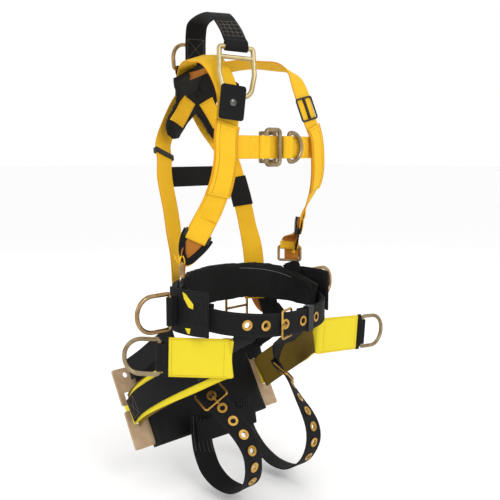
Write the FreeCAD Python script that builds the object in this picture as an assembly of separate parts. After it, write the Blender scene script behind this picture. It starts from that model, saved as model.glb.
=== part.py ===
import FreeCAD, Part
import math
import os
from FreeCAD import Matrix, Vector

# Tower climber's full-body harness, worn shape, empty.  Millimetres.
# Origin: centre of the waist belt.  +Z up, the wearer faces -Y, the wearer's left is +X.

# ---------------------------------------------------------------- driving dimensions
WEB = 45.0            # width of the load webbing
WEB_T = 2.5           # its thickness
OVERLAY = 50.0        # width of the stitched chest overlay
CLEAR = 0.4           # air gap between neighbouring pieces
PAD_T = 9.0           # thickness of the back pads
BELT_A = 165.0        # half width of the waist belt, hip to hip
BELT_B = 114.0        # half depth of the waist belt
BELT_POWER = 0.86     # 1 is an ellipse, less is squarer
BELT_Z = -15.0        # height of the belt at the hips
BELT_TILT = 0.19      # rise of the belt per millimetre towards the back
BELT_LEAN = -0.035    # rise per millimetre towards the left hip
SADDLE_H = 76.0       # width of the yellow saddle straps
GROMMET_R = 5.5       # bore radius of a grommet
GROMMET_RIM = 10.0    # outer radius of a grommet
BOARD_W = 410.0       # seat board, end to end
BOARD_H = 170.0       # seat board, bottom edge to top edge
BOARD_T = 5.0
BOARD_LOW = Vector(0, 123, -310)      # middle of the board's bottom edge
BOARD_UP = Vector(0, 0.489, 0.872)    # direction up the board
BOARD_OUT = Vector(0, -0.872, 0.489)  # direction out of the board's front face
RING_R = 4.2          # bar radius of the hip, chest and seat rings
BUCKLE_R = 2.3        # bar radius of the waist and leg buckles
HINGE_GAP = 0.5       # gap between a ring's bar and the web loop that holds it

SIDES = (("right", 1), ("left", -1))
UP = Vector(0, 0, 1)
parts = {}
os.makedirs("parts", exist_ok=True)


# ---------------------------------------------------------------- helpers
def unit(vector):
    return vector * (1.0 / vector.Length)


def flip(vector, side):
    """A right-hand point or direction, mirrored for the left side."""
    return Vector(vector[0] * side, vector[1], vector[2])


def smooth(rows, steps):
    """Catmull-Rom samples through rows of numbers, `steps` to each interval."""
    result = []
    last = len(rows) - 1
    for i in range(last):
        before, start, end, after = (rows[max(i - 1, 0)], rows[i], rows[i + 1], rows[min(i + 2, last)])
        for k in range(steps):
            t = k / steps
            result.append([
                0.5 * (2 * b + (c - a) * t + (2 * a - 5 * b + 4 * c - d) * t ** 2
                       + (3 * b - a - 3 * c + d) * t ** 3)
                for a, b, c, d in zip(before, start, end, after)])
    result.append(list(rows[last]))
    return result


def faceted(corners, quads):
    """A closed solid from a list of corner points and quads, each quad split in two."""
    triangles = [tri for a, b, c, d in quads for tri in ((a, b, c), (a, c, d))]
    volume = sum(corners[a].dot(corners[b].cross(corners[c])) for a, b, c in triangles)
    faces = []
    for tri in triangles:
        points = [corners[i] for i in (tri if volume > 0 else reversed(tri))]
        if (points[1] - points[0]).cross(points[2] - points[0]).Length > 1e-6:
            faces.append(Part.Face(Part.makePolygon(points + points[:1])))
    return Part.Solid(Part.makeShell(faces))


def frames(rows, lift=0.0):
    """Centre, across and outward directions at each row (x, y, z, sx, sy, sz, ...)."""
    result = []
    for i, row in enumerate(rows):
        ahead = Vector(*rows[min(i + 1, len(rows) - 1)][:3])
        behind = Vector(*rows[max(i - 1, 0)][:3])
        along = unit(ahead - behind)
        across = Vector(*row[3:6])
        across = unit(across - along * across.dot(along))
        outward = unit(across.cross(along))
        result.append((Vector(*row[:3]) + outward * lift, across, outward))
    return result


def ribbon(rows, width, thick=WEB_T, lift=0.0, steps=4):
    """A flat strap through the rows; a seventh number in a row is its own width."""
    rings = []
    samples = smooth(rows, steps)
    for row, (centre, across, outward) in zip(samples, frames(samples, lift)):
        half = (row[6] if len(row) > 6 else width) / 2
        rings.append([centre + across * (half * a) + outward * (thick / 2 * b)
                      for a, b in ((-1, -1), (1, -1), (1, 1), (-1, 1))])
    corners = [point for ring in rings for point in ring]
    quads = [(0, 1, 2, 3)]
    for i in range(len(rings) - 1):
        for k in range(4):
            m = (k + 1) % 4
            quads.append((4 * i + k, 4 * i + 4 + k, 4 * i + 4 + m, 4 * i + m))
    end = 4 * (len(rings) - 1)
    quads.append((end + 3, end + 2, end + 1, end))
    return faceted(corners, quads)


def mirror_rows(rows, side):
    """Right-hand rows, or their mirror image for the left side."""
    return [[row[0] * side, row[1], row[2], row[3], row[4] * side, row[5] * side] + list(row[6:])
            for row in rows]


def at_place(shape, origin, x_axis, y_hint):
    """Move a shape from local axes to a place in the harness."""
    x_axis = unit(x_axis)
    z_axis = unit(x_axis.cross(y_hint))
    y_axis = z_axis.cross(x_axis)
    matrix = Matrix(x_axis.x, y_axis.x, z_axis.x, origin.x,
                    x_axis.y, y_axis.y, z_axis.y, origin.y,
                    x_axis.z, y_axis.z, z_axis.z, origin.z,
                    0, 0, 0, 1)
    placed = shape.copy()
    placed.Placement = FreeCAD.Placement(matrix).multiply(placed.Placement)
    return placed


def rod(points, radius):
    """Round bar along a rounded closed path of (x, y, corner radius), in the local XY plane."""
    pieces = []
    count = len(points)
    tangents = []
    for i, (x, y, corner) in enumerate(points):
        here = Vector(x, y, 0)
        to_last = unit(Vector(*points[i - 1][:2], 0) - here)
        to_next = unit(Vector(*points[(i + 1) % count][:2], 0) - here)
        angle = to_last.getAngle(to_next)
        reach = corner / math.tan(angle / 2)
        bisector = unit(to_last + to_next)
        middle = here + bisector * (corner / math.sin(angle / 2))
        enter = here + to_last * reach
        leave = here + to_next * reach
        tangents.append((enter, leave))
        start = enter - middle
        normal = unit((enter - middle).cross(leave - middle))
        turn = math.degrees((enter - middle).getAngle(leave - middle))
        profile = Part.Face(Part.Wire(Part.makeCircle(radius, enter, unit(normal.cross(start)))))
        pieces.append(profile.revolve(middle, normal, turn))
    for i in range(count):
        leave = tangents[i][1]
        enter = tangents[(i + 1) % count][0]
        if (enter - leave).Length > 0.05:
            pieces.append(Part.makeCylinder(radius, (enter - leave).Length, leave, enter - leave))
    return pieces[0].multiFuse(pieces[1:]).removeSplitter()


def d_ring(width, depth, radius=RING_R, corner=6.0):
    """D ring: its straight bar on the local Y axis, its bow towards local +X."""
    half = width / 2 - radius
    reach = depth - 2 * radius
    bow = min(half * 0.97, reach * 0.92)
    return rod([(0, -half, corner), (reach, -half, bow), (reach, half, bow), (0, half, corner)], radius)


def frame_bar(width, height, radius, corner):
    """Rounded rectangular frame of round bar: local X from 0 to width, centred on local X axis."""
    half = height / 2 - radius
    return rod([(0, -half, corner), (width - 2 * radius, -half, corner),
                (width - 2 * radius, half, corner), (0, half, corner)], radius)


def teardrop(radius, tip_x, tip_half):
    """Face round a circle at the origin that tapers towards local -X to a blunt or sharp tip."""
    reach = math.hypot(tip_x, tip_half)
    angle = math.atan2(tip_half, -tip_x) - math.acos(radius / reach)
    upper = Vector(radius * math.cos(angle), 0, radius * math.sin(angle))
    lower = Vector(upper.x, 0, -upper.z)
    edges = [Part.makeLine(Vector(-tip_x, 0, tip_half), upper),
             Part.Arc(upper, Vector(radius, 0, 0), lower).toShape(),
             Part.makeLine(lower, Vector(-tip_x, 0, -tip_half))]
    if tip_half:
        edges.append(Part.makeLine(Vector(-tip_x, 0, -tip_half), Vector(-tip_x, 0, tip_half)))
    return Part.Face(Part.Wire(edges))


def web_loop(bar_radius, width, tail, thick=WEB_T, gap=HINGE_GAP):
    """Web folded round a bar on the local Y axis and sewn to itself towards local -X."""
    inner = bar_radius + gap
    outer = teardrop(inner + thick, tail, thick * 1.1)
    hollow = teardrop(inner, max(tail - 3, inner + 1.5), 0)
    solid = outer.extrude(Vector(0, width, 0)).cut(hollow.extrude(Vector(0, width, 0)))
    solid.translate(Vector(0, -width / 2, 0))
    return solid


def belt_row(angle, grow=0.0, height=None, rise=0.0):
    """Row of the waist ellipse; 0 is the left hip, 90 the back, 180 the right hip, 270 the front."""
    c = math.cos(math.radians(angle))
    s = math.sin(math.radians(angle))
    x = (BELT_A + grow) * math.copysign(abs(c) ** BELT_POWER, c)
    y = (BELT_B + grow) * math.copysign(abs(s) ** BELT_POWER, s)
    row = [x, y, BELT_Z + BELT_TILT * y + BELT_LEAN * x + rise, 0, 0.0, 1]
    return row + [height] if height else row


def belt_band(start, end, step, grow, height=WEB, rise=0.0, thick=WEB_T, steps=2):
    count = max(2, round(abs(end - start) / step))
    rows = []
    for k in range(count + 1):
        angle = start + (end - start) * k / count
        g = grow(angle) if callable(grow) else grow
        h = height(angle) if callable(height) else height
        r = rise(angle) if callable(rise) else rise
        rows.append(belt_row(angle, g, h, r))
    return ribbon(rows, WEB, thick, steps=steps)


def board_point(u, v, out=0.0):
    """A point on the seat board: u along +X, v up from the bottom edge, out of the front face."""
    return Vector(u, 0, 0) + BOARD_LOW + BOARD_UP * v + BOARD_OUT * out


def board_slab(outline, thick, out=0.0):
    """A flat plate in the seat board's plane from (u, v) corner points."""
    points = [board_point(u, v, out) for u, v in outline]
    face = Part.Face(Part.makePolygon(points + points[:1]))
    return face.extrude(BOARD_OUT * thick)


# ---------------------------------------------------------------- strap routes, right side
# Rows are x, y, z and the direction across the strap.
TORSO_ROUTE = [
    (-144, 2, 125, 0.62, -0.55, -0.50),
    (-139, -10, 150, 0.70, -0.50, -0.45),
    (-136, -30, 180, 0.80, -0.42, -0.30),
    (-134, -47, 210, 0.90, -0.32, -0.15),
    (-131, -57, 240, 0.97, -0.24, -0.05),
    (-127, -61, 275, 0.98, -0.20, 0.00),
    (-124, -59, 315, 0.98, -0.20, 0.00),
    (-113, -54, 350, 0.97, -0.20, 0.20),
    (-104, -46, 385, 0.96, -0.20, 0.25),
    (-103, -34, 415, 0.95, -0.20, 0.28),
    (-105, -17, 442, 0.92, -0.20, 0.33),
    (-101, 9, 459, 0.92, -0.10, 0.35),
    (-91, 47, 465, 0.93, 0.05, 0.33),
    (-70, 95, 470, 0.93, 0.25, 0.25),
    (-46, 140, 462, 0.90, 0.35, 0.05),
    (-20, 176, 438, 0.85, 0.20, -0.35),
    (0, 190, 412, 0.82, 0.10, -0.50),
    (28, 193, 375, 0.80, 0.00, -0.50),
    (55, 189, 338, 0.85, -0.20, -0.40),
    (77, 178, 305, 0.88, -0.32, -0.20),
    (91, 164, 272, 0.93, -0.28, -0.10),
    (99, 152, 232, 0.98, -0.20, 0.00),
    (102, 131, 170, 0.98, -0.20, 0.00),
    (104, 119, 125, 0.98, -0.20, 0.00),
    (108, 110, 85, 0.90, -0.40, 0.00),
    (111, 106, 45, 0.85, -0.52, 0.00),
    (111, 104, 0, 0.85, -0.52, 0.00),
    (110, 103, -38, 0.85, -0.52, 0.00),
]
CROSSING = range(14, 20)      # rows where one shoulder strap lies over the other
CROSSING_LIFT = 6.0
LEFT_CANT = {       # across directions where the left strap lies flatter on the chest
    7: (0.98, 0.10, 0.00),
    8: (0.97, 0.05, 0.08),
    9: (0.96, 0.05, 0.05),
    10: (0.94, 0.12, -0.15),
}
LEG_ROUTE = [
    (-62, 94, -258, 1.00, -0.10, 0.00),
    (-65, 88, -287, 0.95, -0.20, 0.00),
    (-67, 81, -313, 0.92, -0.30, 0.05),
    (-71, 68, -337, 0.90, -0.35, 0.10),
    (-75, 44, -364, 0.92, -0.30, 0.10),
    (-76, 8, -381, 0.95, -0.20, 0.10),
    (-76, -34, -381, 0.97, -0.15, 0.10),
    (-78, -65, -366, 0.98, -0.10, 0.10),
    (-82, -85, -343, 0.98, -0.08, 0.10),
    (-87, -95, -311, 1.00, 0.00, 0.05),
    (-89, -91, -279, 1.00, -0.05, 0.10),
    (-92, -72, -252, 0.95, -0.15, 0.20),
    (-96, -47, -230, 0.88, -0.30, 0.32),
    (-101, -22, -209, 0.80, -0.40, 0.42),
    (-106, 4, -189, 0.76, -0.44, 0.44),
    (-112, 32, -168, 0.76, -0.44, 0.44),
]
LEG_GROMMET_ROWS = (8, 9, 10, 11, 12, 13, 14)
LEG_PIERCE = 22.0     # buckle bar to the grommet that the tongue is in
LEG_LIFT = 7.4        # leg strap above the buckle bar
RISER_ROUTE = {
    "right": [(-114, 33, -155, 0.72, -0.55, 0.40), (-109, 6, -126, 0.74, -0.50, 0.40),
              (-105, -42, -92, 0.80, -0.45, 0.30), (-103, -82, -62, 0.87, -0.46, 0.10),
              (-103, -90, -42, 0.89, -0.46, 0.00)],
    "left": [(114, 33, -155, 0.72, 0.55, -0.40), (94, 4, -124, 0.76, 0.48, -0.35),
             (62, -42, -96, 0.85, 0.35, -0.30), (33, -88, -68, 0.97, 0.10, -0.15),
             (30, -103, -46, 1.00, 0.05, 0.00)],
}
HANGER_ROUTE = [
    (-158, 56, -66, 0.20, 0.60, 0.75),
    (-172, 92, -95, 0.20, 0.62, 0.75),
    (-180, 132, -128, 0.15, 0.60, 0.78),
    (-184, 172, -156, 0.10, 0.50, 0.85),
]
HANGER_FOLD = [       # the left hanger's end, folded down over the end of the board
    (-184, 184, -178, 0.60, 0.20, 0.30),
    (-184, 172, -205, 1.00, 0.00, 0.00),
]
SADDLE_ROUTE = [
    (-178, 190, -258, 0.00, 0.49, 0.87, 52),
    (-186, 160, -240, 0.00, 0.49, 0.87, 54),
    (-194, 118, -206, 0.00, 0.45, 0.89, 62),
    (-186, 62, -168, 0.00, 0.35, 0.93, 70),
    (-164, 8, -134, 0.00, 0.20, 0.97, 76),
    (-138, -38, -106, 0.00, 0.08, 0.99, 76),
    (-124, -62, -95, 0.00, 0.02, 1.00, 76),
]
SADDLE_BEND = (-119, -70, -95)
SADDLE_REACH = 139.0          # bend to ring bar
SADDLE_OUT = {"right": Vector(-0.716, 0.698, 0.03), "left": Vector(0.99, -0.08, -0.08)}
EXTENSION_ROUTE = [
    (0, 169, 464),
    (0, 169, 497),
    (-1, 166, 532),
    (-7, 152, 551),
    (-28, 102, 556),
    (-52, 44, 553),
    (-62, 18, 544),
    (-73, -18, 515),
    (-81, -38, 495),
    (-82.8, -44, 487),
]
EXTENSION_ACROSS = (0.93, -0.37, 0.0)
YOKE_ROWS = [       # inner edge x, y, z then outer edge x, y, z of one half of the back pad
    (58, 56, 458, 106, 60, 448),
    (42, 96, 468, 108, 104, 448),
    (24, 130, 466, 94, 130, 434),
    (0, 146, 464, 82, 147, 422),
    (0, 162, 445, 64, 164, 410),
    (0, 176, 420, 56, 173, 395),
    (0, 178, 385, 72, 170, 374),
    (0, 178, 368, 86, 167, 352),
    (22, 178, 347, 89, 165, 341),
    (40, 178, 327, 85, 165, 324),
    (52, 176, 316, 68, 170, 314),
]


# ---------------------------------------------------------------- buckles and small hardware
def grommet(centre, outward, reach=WEB_T / 2 + 0.5, lip=1.0):
    """Flanged brass eyelet: a tube through the web with a rim on each face."""
    top = reach + lip
    outline = [(GROMMET_R, -top), (GROMMET_RIM, -top), (GROMMET_RIM, -reach), (GROMMET_R + 1, -reach),
               (GROMMET_R + 1, reach), (GROMMET_RIM, reach), (GROMMET_RIM, top), (GROMMET_R, top)]
    points = [Vector(r, 0, z) for r, z in outline]
    solid = Part.Face(Part.makePolygon(points + points[:1])).revolve(Vector(), Vector(0, 0, 1), 360)
    helper = Vector(0, 0, 1) if abs(outward.z) < 0.9 else Vector(1, 0, 0)
    across = unit(helper.cross(outward))
    return at_place(solid, centre, across, outward.cross(across))


def grommet_hole(centre, outward):
    return Part.makeCylinder(GROMMET_R + 1.2, 16, centre - outward * 8, outward)


def tongue_buckle(node, hinge, towards, across, strap_lift, pierce, length):
    """Frame and tongue on one hinge bar.  Local +X runs from the bar along the strap, +Z outward."""
    radius = BUCKLE_R
    play = 1.2
    rise = strap_lift + WEB_T / 2 + play + radius
    outward = unit(towards.cross(across))
    slope = unit(towards * (length - 2 * radius) + outward * rise)
    parts[node + "_frame"] = at_place(frame_bar(length, 58, radius, 5.0), hinge, slope, across)
    thin = 1.7
    bar = length - 2 * radius
    lean = math.atan2(rise, bar)
    over = bar * math.sin(lean) + radius + thin + 0.4
    path = [(3.5, 0), (pierce - 4.5, 0.2), (pierce + 3.5, strap_lift + 6), (bar * math.cos(lean), over),
            (bar * math.cos(lean) + 4.5, over)]
    pin = Part.makeCylinder(radius + 2.4, 6, Vector(0, -3, 0), Vector(0, 1, 0))
    for (x0, z0), (x1, z1) in zip(path, path[1:]):
        start = Vector(x0, 0, z0)
        leg = Vector(x1 - x0, 0, z1 - z0)
        pin = pin.fuse(Part.makeCylinder(thin, leg.Length, start, leg))
        pin = pin.fuse(Part.makeSphere(thin, start + leg))
    pin = pin.cut(Part.makeCylinder(radius + 0.08, 10, Vector(0, -5, 0), Vector(0, 1, 0)))
    parts[node + "_tongue"] = at_place(pin, hinge, towards, across)


def sheet_frame(width, height, bar, thick, centre_bar=0.0):
    """Flat stamped or moulded frame in local XY with one window, or two beside a centre bar."""
    plate = Part.makeBox(width, height, thick, Vector(-width / 2, -height / 2, -thick / 2))
    inner_w = width - 2 * bar
    inner_h = height - 2 * bar
    windows = [(-inner_w / 2, inner_w)]
    if centre_bar:
        half = (inner_w - centre_bar) / 2
        windows = [(-inner_w / 2, half), (centre_bar / 2, half)]
    for x, w in windows:
        plate = plate.cut(Part.makeBox(w, inner_h, thick * 2, Vector(x, -inner_h / 2, -thick)))
    vertical = [e for e in plate.Edges if abs(e.tangentAt(e.FirstParameter).z) > 0.9
                and abs(abs(e.Vertexes[0].X) - width / 2) < 0.01]
    return plate.makeFillet(min(bar, 4.0), vertical)


def sleeve(width, height, depth, wall):
    """Short rectangular tube along local Y that a strap passes through."""
    outer = Part.makeBox(width + 2 * wall, height, depth + 2 * wall,
                         Vector(-width / 2 - wall, -height / 2, -depth / 2 - wall))
    inner = Part.makeBox(width, height + 2, depth, Vector(-width / 2, -height / 2 - 1, -depth / 2))
    return outer.cut(inner)


# ---------------------------------------------------------------- torso
def torso_rows(side):
    """The shoulder strap's rows on one side; the left strap lies over the right one at the back."""
    rows = mirror_rows(TORSO_ROUTE, side)
    if side < 0:
        for i in CROSSING:
            rows[i][1] += CROSSING_LIFT
        for i, across in LEFT_CANT.items():
            rows[i][3:6] = across
    return rows


for node, side in SIDES:
    samples = smooth(torso_rows(side), 3)
    parts["torso_strap_" + node] = ribbon(samples, WEB, steps=1)
    parts["chest_overlay_" + node] = ribbon(samples[9:21], OVERLAY, lift=WEB_T + 3 * CLEAR, steps=1)

def yoke_pad():
    """The two mirrored halves of the back pad, one piece down the middle above its notch."""
    inward = unit(Vector(0, -0.95, -0.3)) * PAD_T
    corners = []
    quads = []
    for side in (1, -1):
        base = len(corners)
        for xi, yi, zi, xo, yo, zo in YOKE_ROWS:
            inner = Vector(xi * side, yi, zi)
            outer = Vector(xo * side, yo, zo)
            corners.extend((inner, outer, outer + inward, inner + inward))
        end = base + 4 * (len(YOKE_ROWS) - 1)
        found = [(base, base + 3, base + 2, base + 1), (end, end + 1, end + 2, end + 3)]
        for i in range(len(YOKE_ROWS) - 1):
            at_centre = YOKE_ROWS[i][0] == 0 and YOKE_ROWS[i + 1][0] == 0
            for k in range(3 if at_centre else 4):
                m = (k + 1) % 4
                a = base + 4 * i
                found.append((a + k, a + m, a + 4 + m, a + 4 + k))
        quads.extend(found if side > 0 else [tuple(reversed(q)) for q in found])
    return faceted(corners, quads)


parts["dorsal_pad"] = yoke_pad()
parts["dorsal_ring"] = at_place(d_ring(78, 62), Vector(0, 198, 462), Vector(0, 0.12, 1), Vector(1, 0, 0))
parts["dorsal_ring_loop"] = at_place(web_loop(RING_R, 56, 16), Vector(0, 198, 462),
                                     Vector(0, 0.12, 1), Vector(1, 0, 0))
parts["back_strap"] = ribbon([(-94, 168.5, 236, 0, 0, 1), (-40, 172, 236, 0, 0, 1),
                              (40, 172, 236, 0, 0, 1), (94, 168.5, 236, 0, 0, 1)], 42, steps=3)

# ---------------------------------------------------------------- extension lanyard and its ring
rows = [list(point) + list(EXTENSION_ACROSS) for point in EXTENSION_ROUTE]
extension_web = ribbon(rows, WEB, steps=3)
EXT_BAR = Vector(-83, -45, 477)
EXT_DOWN = unit(Vector(-0.13, -0.19, -1))
EXT_ACROSS = Vector(*EXTENSION_ACROSS)


def extension_ring():
    """Forged ring: web slot above a cross bar, D shaped eye below.  Local +X runs down."""
    outer = rod([(0, -33, 5), (50, -34, 5), (92, -24, 20), (92, 24, 20), (50, 34, 5), (0, 33, 5)], 4.6)
    cross = Part.makeCylinder(4.0, 62, Vector(19, -31, 0), Vector(0, 1, 0))
    return outer.fuse(cross)


parts["extension_ring"] = at_place(extension_ring(), EXT_BAR, EXT_DOWN, EXT_ACROSS)
extension_loop = at_place(web_loop(4.6, 44, 12), EXT_BAR, EXT_DOWN, EXT_ACROSS)
parts["extension_web"] = extension_web.fuse(extension_loop)

FLAP_AT = Vector(-120, -72, 376)
flap_x = unit(Vector(0.93, -0.36, -0.12))
flap_y = Vector(0.1, 0.0, 1)
flap = Part.makeBox(48, 62, 2.5, Vector(0, -31, -1.25))
flap = flap.makeFillet(6, [e for e in flap.Edges if abs(e.Vertexes[0].X - e.Vertexes[1].X) < 0.1
                           and abs(e.Vertexes[0].Y - e.Vertexes[1].Y) < 0.1])
parts["stowage_flap"] = at_place(flap, FLAP_AT + flap_x * -22, flap_x, flap_y)
snap = Part.makeSphere(14, Vector(25, 0, -11.2)).common(Part.makeBox(20, 20, 6, Vector(15, -10, 1.35)))
parts["snap_cap"] = at_place(snap, FLAP_AT + flap_x * -22, flap_x, flap_y)

# ---------------------------------------------------------------- chest
CHEST_Z = 297
CHEST_W = 43
CHEST_Y = -70
LINK_BAR = Vector(-29, CHEST_Y, CHEST_Z)
chest_right = ribbon([(-118, -53.5, CHEST_Z, 0, 0.05, 1), (-85, -66, CHEST_Z, 0, 0, 1),
                      (-43, CHEST_Y, CHEST_Z, 0, 0, 1)], CHEST_W, steps=3)
parts["chest_strap_right"] = chest_right.fuse(
    at_place(web_loop(4.4, CHEST_W, 20), LINK_BAR, Vector(1, 0, 0), UP))
parts["chest_buckle_outer"] = at_place(frame_bar(45, 74, 4.4, 7), LINK_BAR, Vector(1, 0, 0), UP)
PLATE_AT = Vector(-11, CHEST_Y + 14, CHEST_Z)      # middle of the flat plate behind the outer ring
parts["chest_buckle_inner"] = at_place(sheet_frame(46, 60, 7, 3.5, centre_bar=6), PLATE_AT, Vector(1, 0, 0), UP)
px, py = PLATE_AT.x, PLATE_AT.y
chest_left = ribbon([(118, -53.5, CHEST_Z, 0, 0.05, -1), (85, -63, CHEST_Z, 0, 0, -1),
                     (45, -66, CHEST_Z, 0, 0, -1), (28, -64, CHEST_Z, 0, 0, -1),
                     (px + 24, py - 3.8, CHEST_Z, 0, 0, -1), (px, py - 3.8, CHEST_Z, 0, 0, -1),
                     (px - 3.5, py - 3.2, CHEST_Z, 0, 0, -1), (px - 5.2, py, CHEST_Z, 0, 0, -1),
                     (px - 3.5, py + 3.2, CHEST_Z, 0, 0, -1), (px, py + 3.8, CHEST_Z, 0, 0, -1),
                     (px + 7, py + 3.8, CHEST_Z, 0, 0, -1)], CHEST_W, steps=3)
CHEST_D_BAR = Vector(31, -72.4, CHEST_Z)
parts["chest_ring"] = at_place(d_ring(64, 42), CHEST_D_BAR, Vector(1, -0.03, 0), UP)
parts["chest_strap_left"] = chest_left.fuse(
    at_place(web_loop(RING_R, CHEST_W, 13), CHEST_D_BAR, Vector(1, -0.35, 0), UP))

# ---------------------------------------------------------------- lanyard keeper and strap keepers
keeper = sheet_frame(40, 50, 4, 3, centre_bar=8)
band = sleeve(48, 26, 7, 1.6)
band.translate(Vector(0, 0, -6.0))
centre, across, outward = frames(smooth(torso_rows(-1), 3)[22:25])[1]
parts["lanyard_keeper"] = at_place(keeper.fuse(band), centre + outward * 6.0, across, outward.cross(across))

# ---------------------------------------------------------------- waist
def lumbar_edges(y):
    """Top and bottom height of the lumbar pad at depth y."""
    return 25 + 0.29 * y, -48 + 0.14 * y


def wrap_band(start, end, step, grow, thick, edges):
    """Band round the waist between a top and a bottom edge given by depth."""
    rows = []
    count = round(abs(end - start) / step)
    for k in range(count + 1):
        row = belt_row(start + (end - start) * k / count, grow)
        top, bottom = edges(row[1])
        rows.append([row[0], row[1], (top + bottom) / 2, 0, 0, 1, top - bottom])
    return ribbon(rows, WEB, thick, steps=2)


parts["lumbar_pad"] = wrap_band(-24, 204, 9, -9.5, PAD_T, lumbar_edges)


def belt_grow(angle):
    if angle < -60:
        return -3.8 * (-60 - angle) / 22
    if angle > 235:
        return 3.6 * min(1.0, (angle - 235) / 18)
    return 0.0


WAIST_HINGE = Vector(0, -BELT_B + 3.8, BELT_Z - BELT_TILT * BELT_B)
FRONT_DOWN = Vector(0, 0, -1)
TONGUE_NOTCH = Part.makeBox(12, 8, 20, Vector(-6, -4, -10))
belt = belt_band(-86, 326, 4, belt_grow)
GROMMET_ANGLES = (234, 248.5, 263.5, 276, 291)
waist_grommets = []
for angle in GROMMET_ANGLES:
    grow = belt_grow(angle)
    here = frames([belt_row(angle - 1, grow), belt_row(angle, grow), belt_row(angle + 1, grow)])[1]
    belt = belt.cut(grommet_hole(here[0], here[2]))
    waist_grommets.append(grommet(here[0], here[2]))
tongue_buckle("waist_buckle", WAIST_HINGE, Vector(-1, 0, 0), FRONT_DOWN, 7.4, 25.3, 44)
parts["waist_belt"] = belt.fuse(
    at_place(web_loop(BUCKLE_R, 44, 20).cut(TONGUE_NOTCH), WAIST_HINGE, Vector(-1, 0, 0), FRONT_DOWN))
parts["waist_grommets"] = Part.makeCompound(waist_grommets)
here = frames([belt_row(283, 0.4), belt_row(284, 0.4), belt_row(285, 0.4)])[1]
parts["belt_keeper"] = at_place(sleeve(47, 18, 10.5, 1.6), here[0], here[1], here[2].cross(here[1]))

# ---------------------------------------------------------------- seat
end = BOARD_W / 2
mid = BOARD_H / 2
board_outline = [(-end, 0), (end, 0), (end, BOARD_H), (-end, BOARD_H)]
board = board_slab(board_outline, BOARD_T, -BOARD_T / 2)
for s in (-1, 1):
    entry = [(s * (end + 1), mid - 4), (s * (end - 18), mid - 4), (s * (end - 18), mid + 8), (s * (end + 1), mid + 8)]
    slot = [(s * (end - 26), mid - 34), (s * (end - 12), mid - 34), (s * (end - 12), mid + 34), (s * (end - 26), mid + 34)]
    board = board.cut(board_slab(entry, 20, -10)).cut(board_slab(slot, 20, -10))
    board = board.cut(Part.makeCylinder(6, 20, board_point(s * (end - 28), mid + 70, -10), BOARD_OUT))
corner_edges = [e for e in board.Edges if e.Length > BOARD_T - 0.1 and e.Length < BOARD_T + 0.1
                and abs(abs(e.Vertexes[0].X) - end) < 0.1]
parts["seat_board"] = board.makeFillet(5, corner_edges)

COVER_W = 322
cover_outline = [(-COVER_W / 2, -9), (COVER_W / 2, -9), (COVER_W / 2, BOARD_H + 9), (-COVER_W / 2, BOARD_H + 9)]
pocket = [(-COVER_W, -1), (COVER_W, -1), (COVER_W, BOARD_H + 1), (-COVER_W, BOARD_H + 1)]
cover = board_slab(cover_outline, BOARD_T + 16, -BOARD_T / 2 - 6)
parts["seat_cover"] = cover.cut(board_slab(pocket, BOARD_T + 1.6, -BOARD_T / 2 - 0.8))

SADDLE_FOLD_R = 5.0


def saddle_route(node, side):
    """Inner run from the board slot to the bend, a tight fold, then the outer run to the ring."""
    rows = mirror_rows(SADDLE_ROUTE, side)
    bend = flip(Vector(*SADDLE_BEND), side)
    out = SADDLE_OUT[node]
    for distance in (6, 30, 70, SADDLE_REACH - 16):
        p = bend + out * distance + Vector(0, -SADDLE_FOLD_R, 0)
        rows.append([p.x, p.y, p.z, 0, 0, side, SADDLE_H])
    return rows


seat_loops = []
saddle_webs = []
for node, side in SIDES:
    rows = saddle_route(node, side)
    parts["saddle_strap_" + node] = ribbon(rows, SADDLE_H, 3.0, steps=4)
    web_rows = [row[:6] for row in mirror_rows(SADDLE_ROUTE, side)[1:6]]
    saddle_webs.append(ribbon(web_rows, 48, lift=-4.2, steps=4))
    out = SADDLE_OUT[node]
    bar = flip(Vector(*SADDLE_BEND), side) + out * SADDLE_REACH + Vector(0, -SADDLE_FOLD_R, 0)
    seat_loops.append(at_place(web_loop(RING_R, 54, 15), bar, out, UP))
    parts["seat_ring_" + node] = at_place(d_ring(76, 74), bar, out, UP)
    hanger = HANGER_ROUTE + (HANGER_FOLD if side < 0 else [])
    parts["seat_hanger_" + node] = ribbon(mirror_rows(hanger, side), WEB, steps=3)
parts["seat_ring_loops"] = Part.makeCompound(seat_loops)
parts["saddle_webs"] = Part.makeCompound(saddle_webs)

parts["sub_pelvic_web"] = ribbon([(-84, 74, -291, 0, 0.15, 1), (0, 69, -291, 0, 0.15, 1),
                                  (84, 74, -291, 0, 0.15, 1)], WEB, steps=3)

# ---------------------------------------------------------------- hips
HIP_BAR = Vector(-199, 13, -6)
for node, side in SIDES:
    out = flip(Vector(-1, 0.06, 0), side)
    bar = flip(HIP_BAR, side)
    parts["hip_ring_" + node] = at_place(d_ring(76, 80), bar, out, UP)
    tab = wrap_band(-24 if side < 0 else 167, 13 if side < 0 else 204, 7, 17, 5, lambda y: (36, -49))
    parts["hip_tab_" + node] = tab.fuse(at_place(web_loop(RING_R, 54, 18), bar, out, UP))

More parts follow.
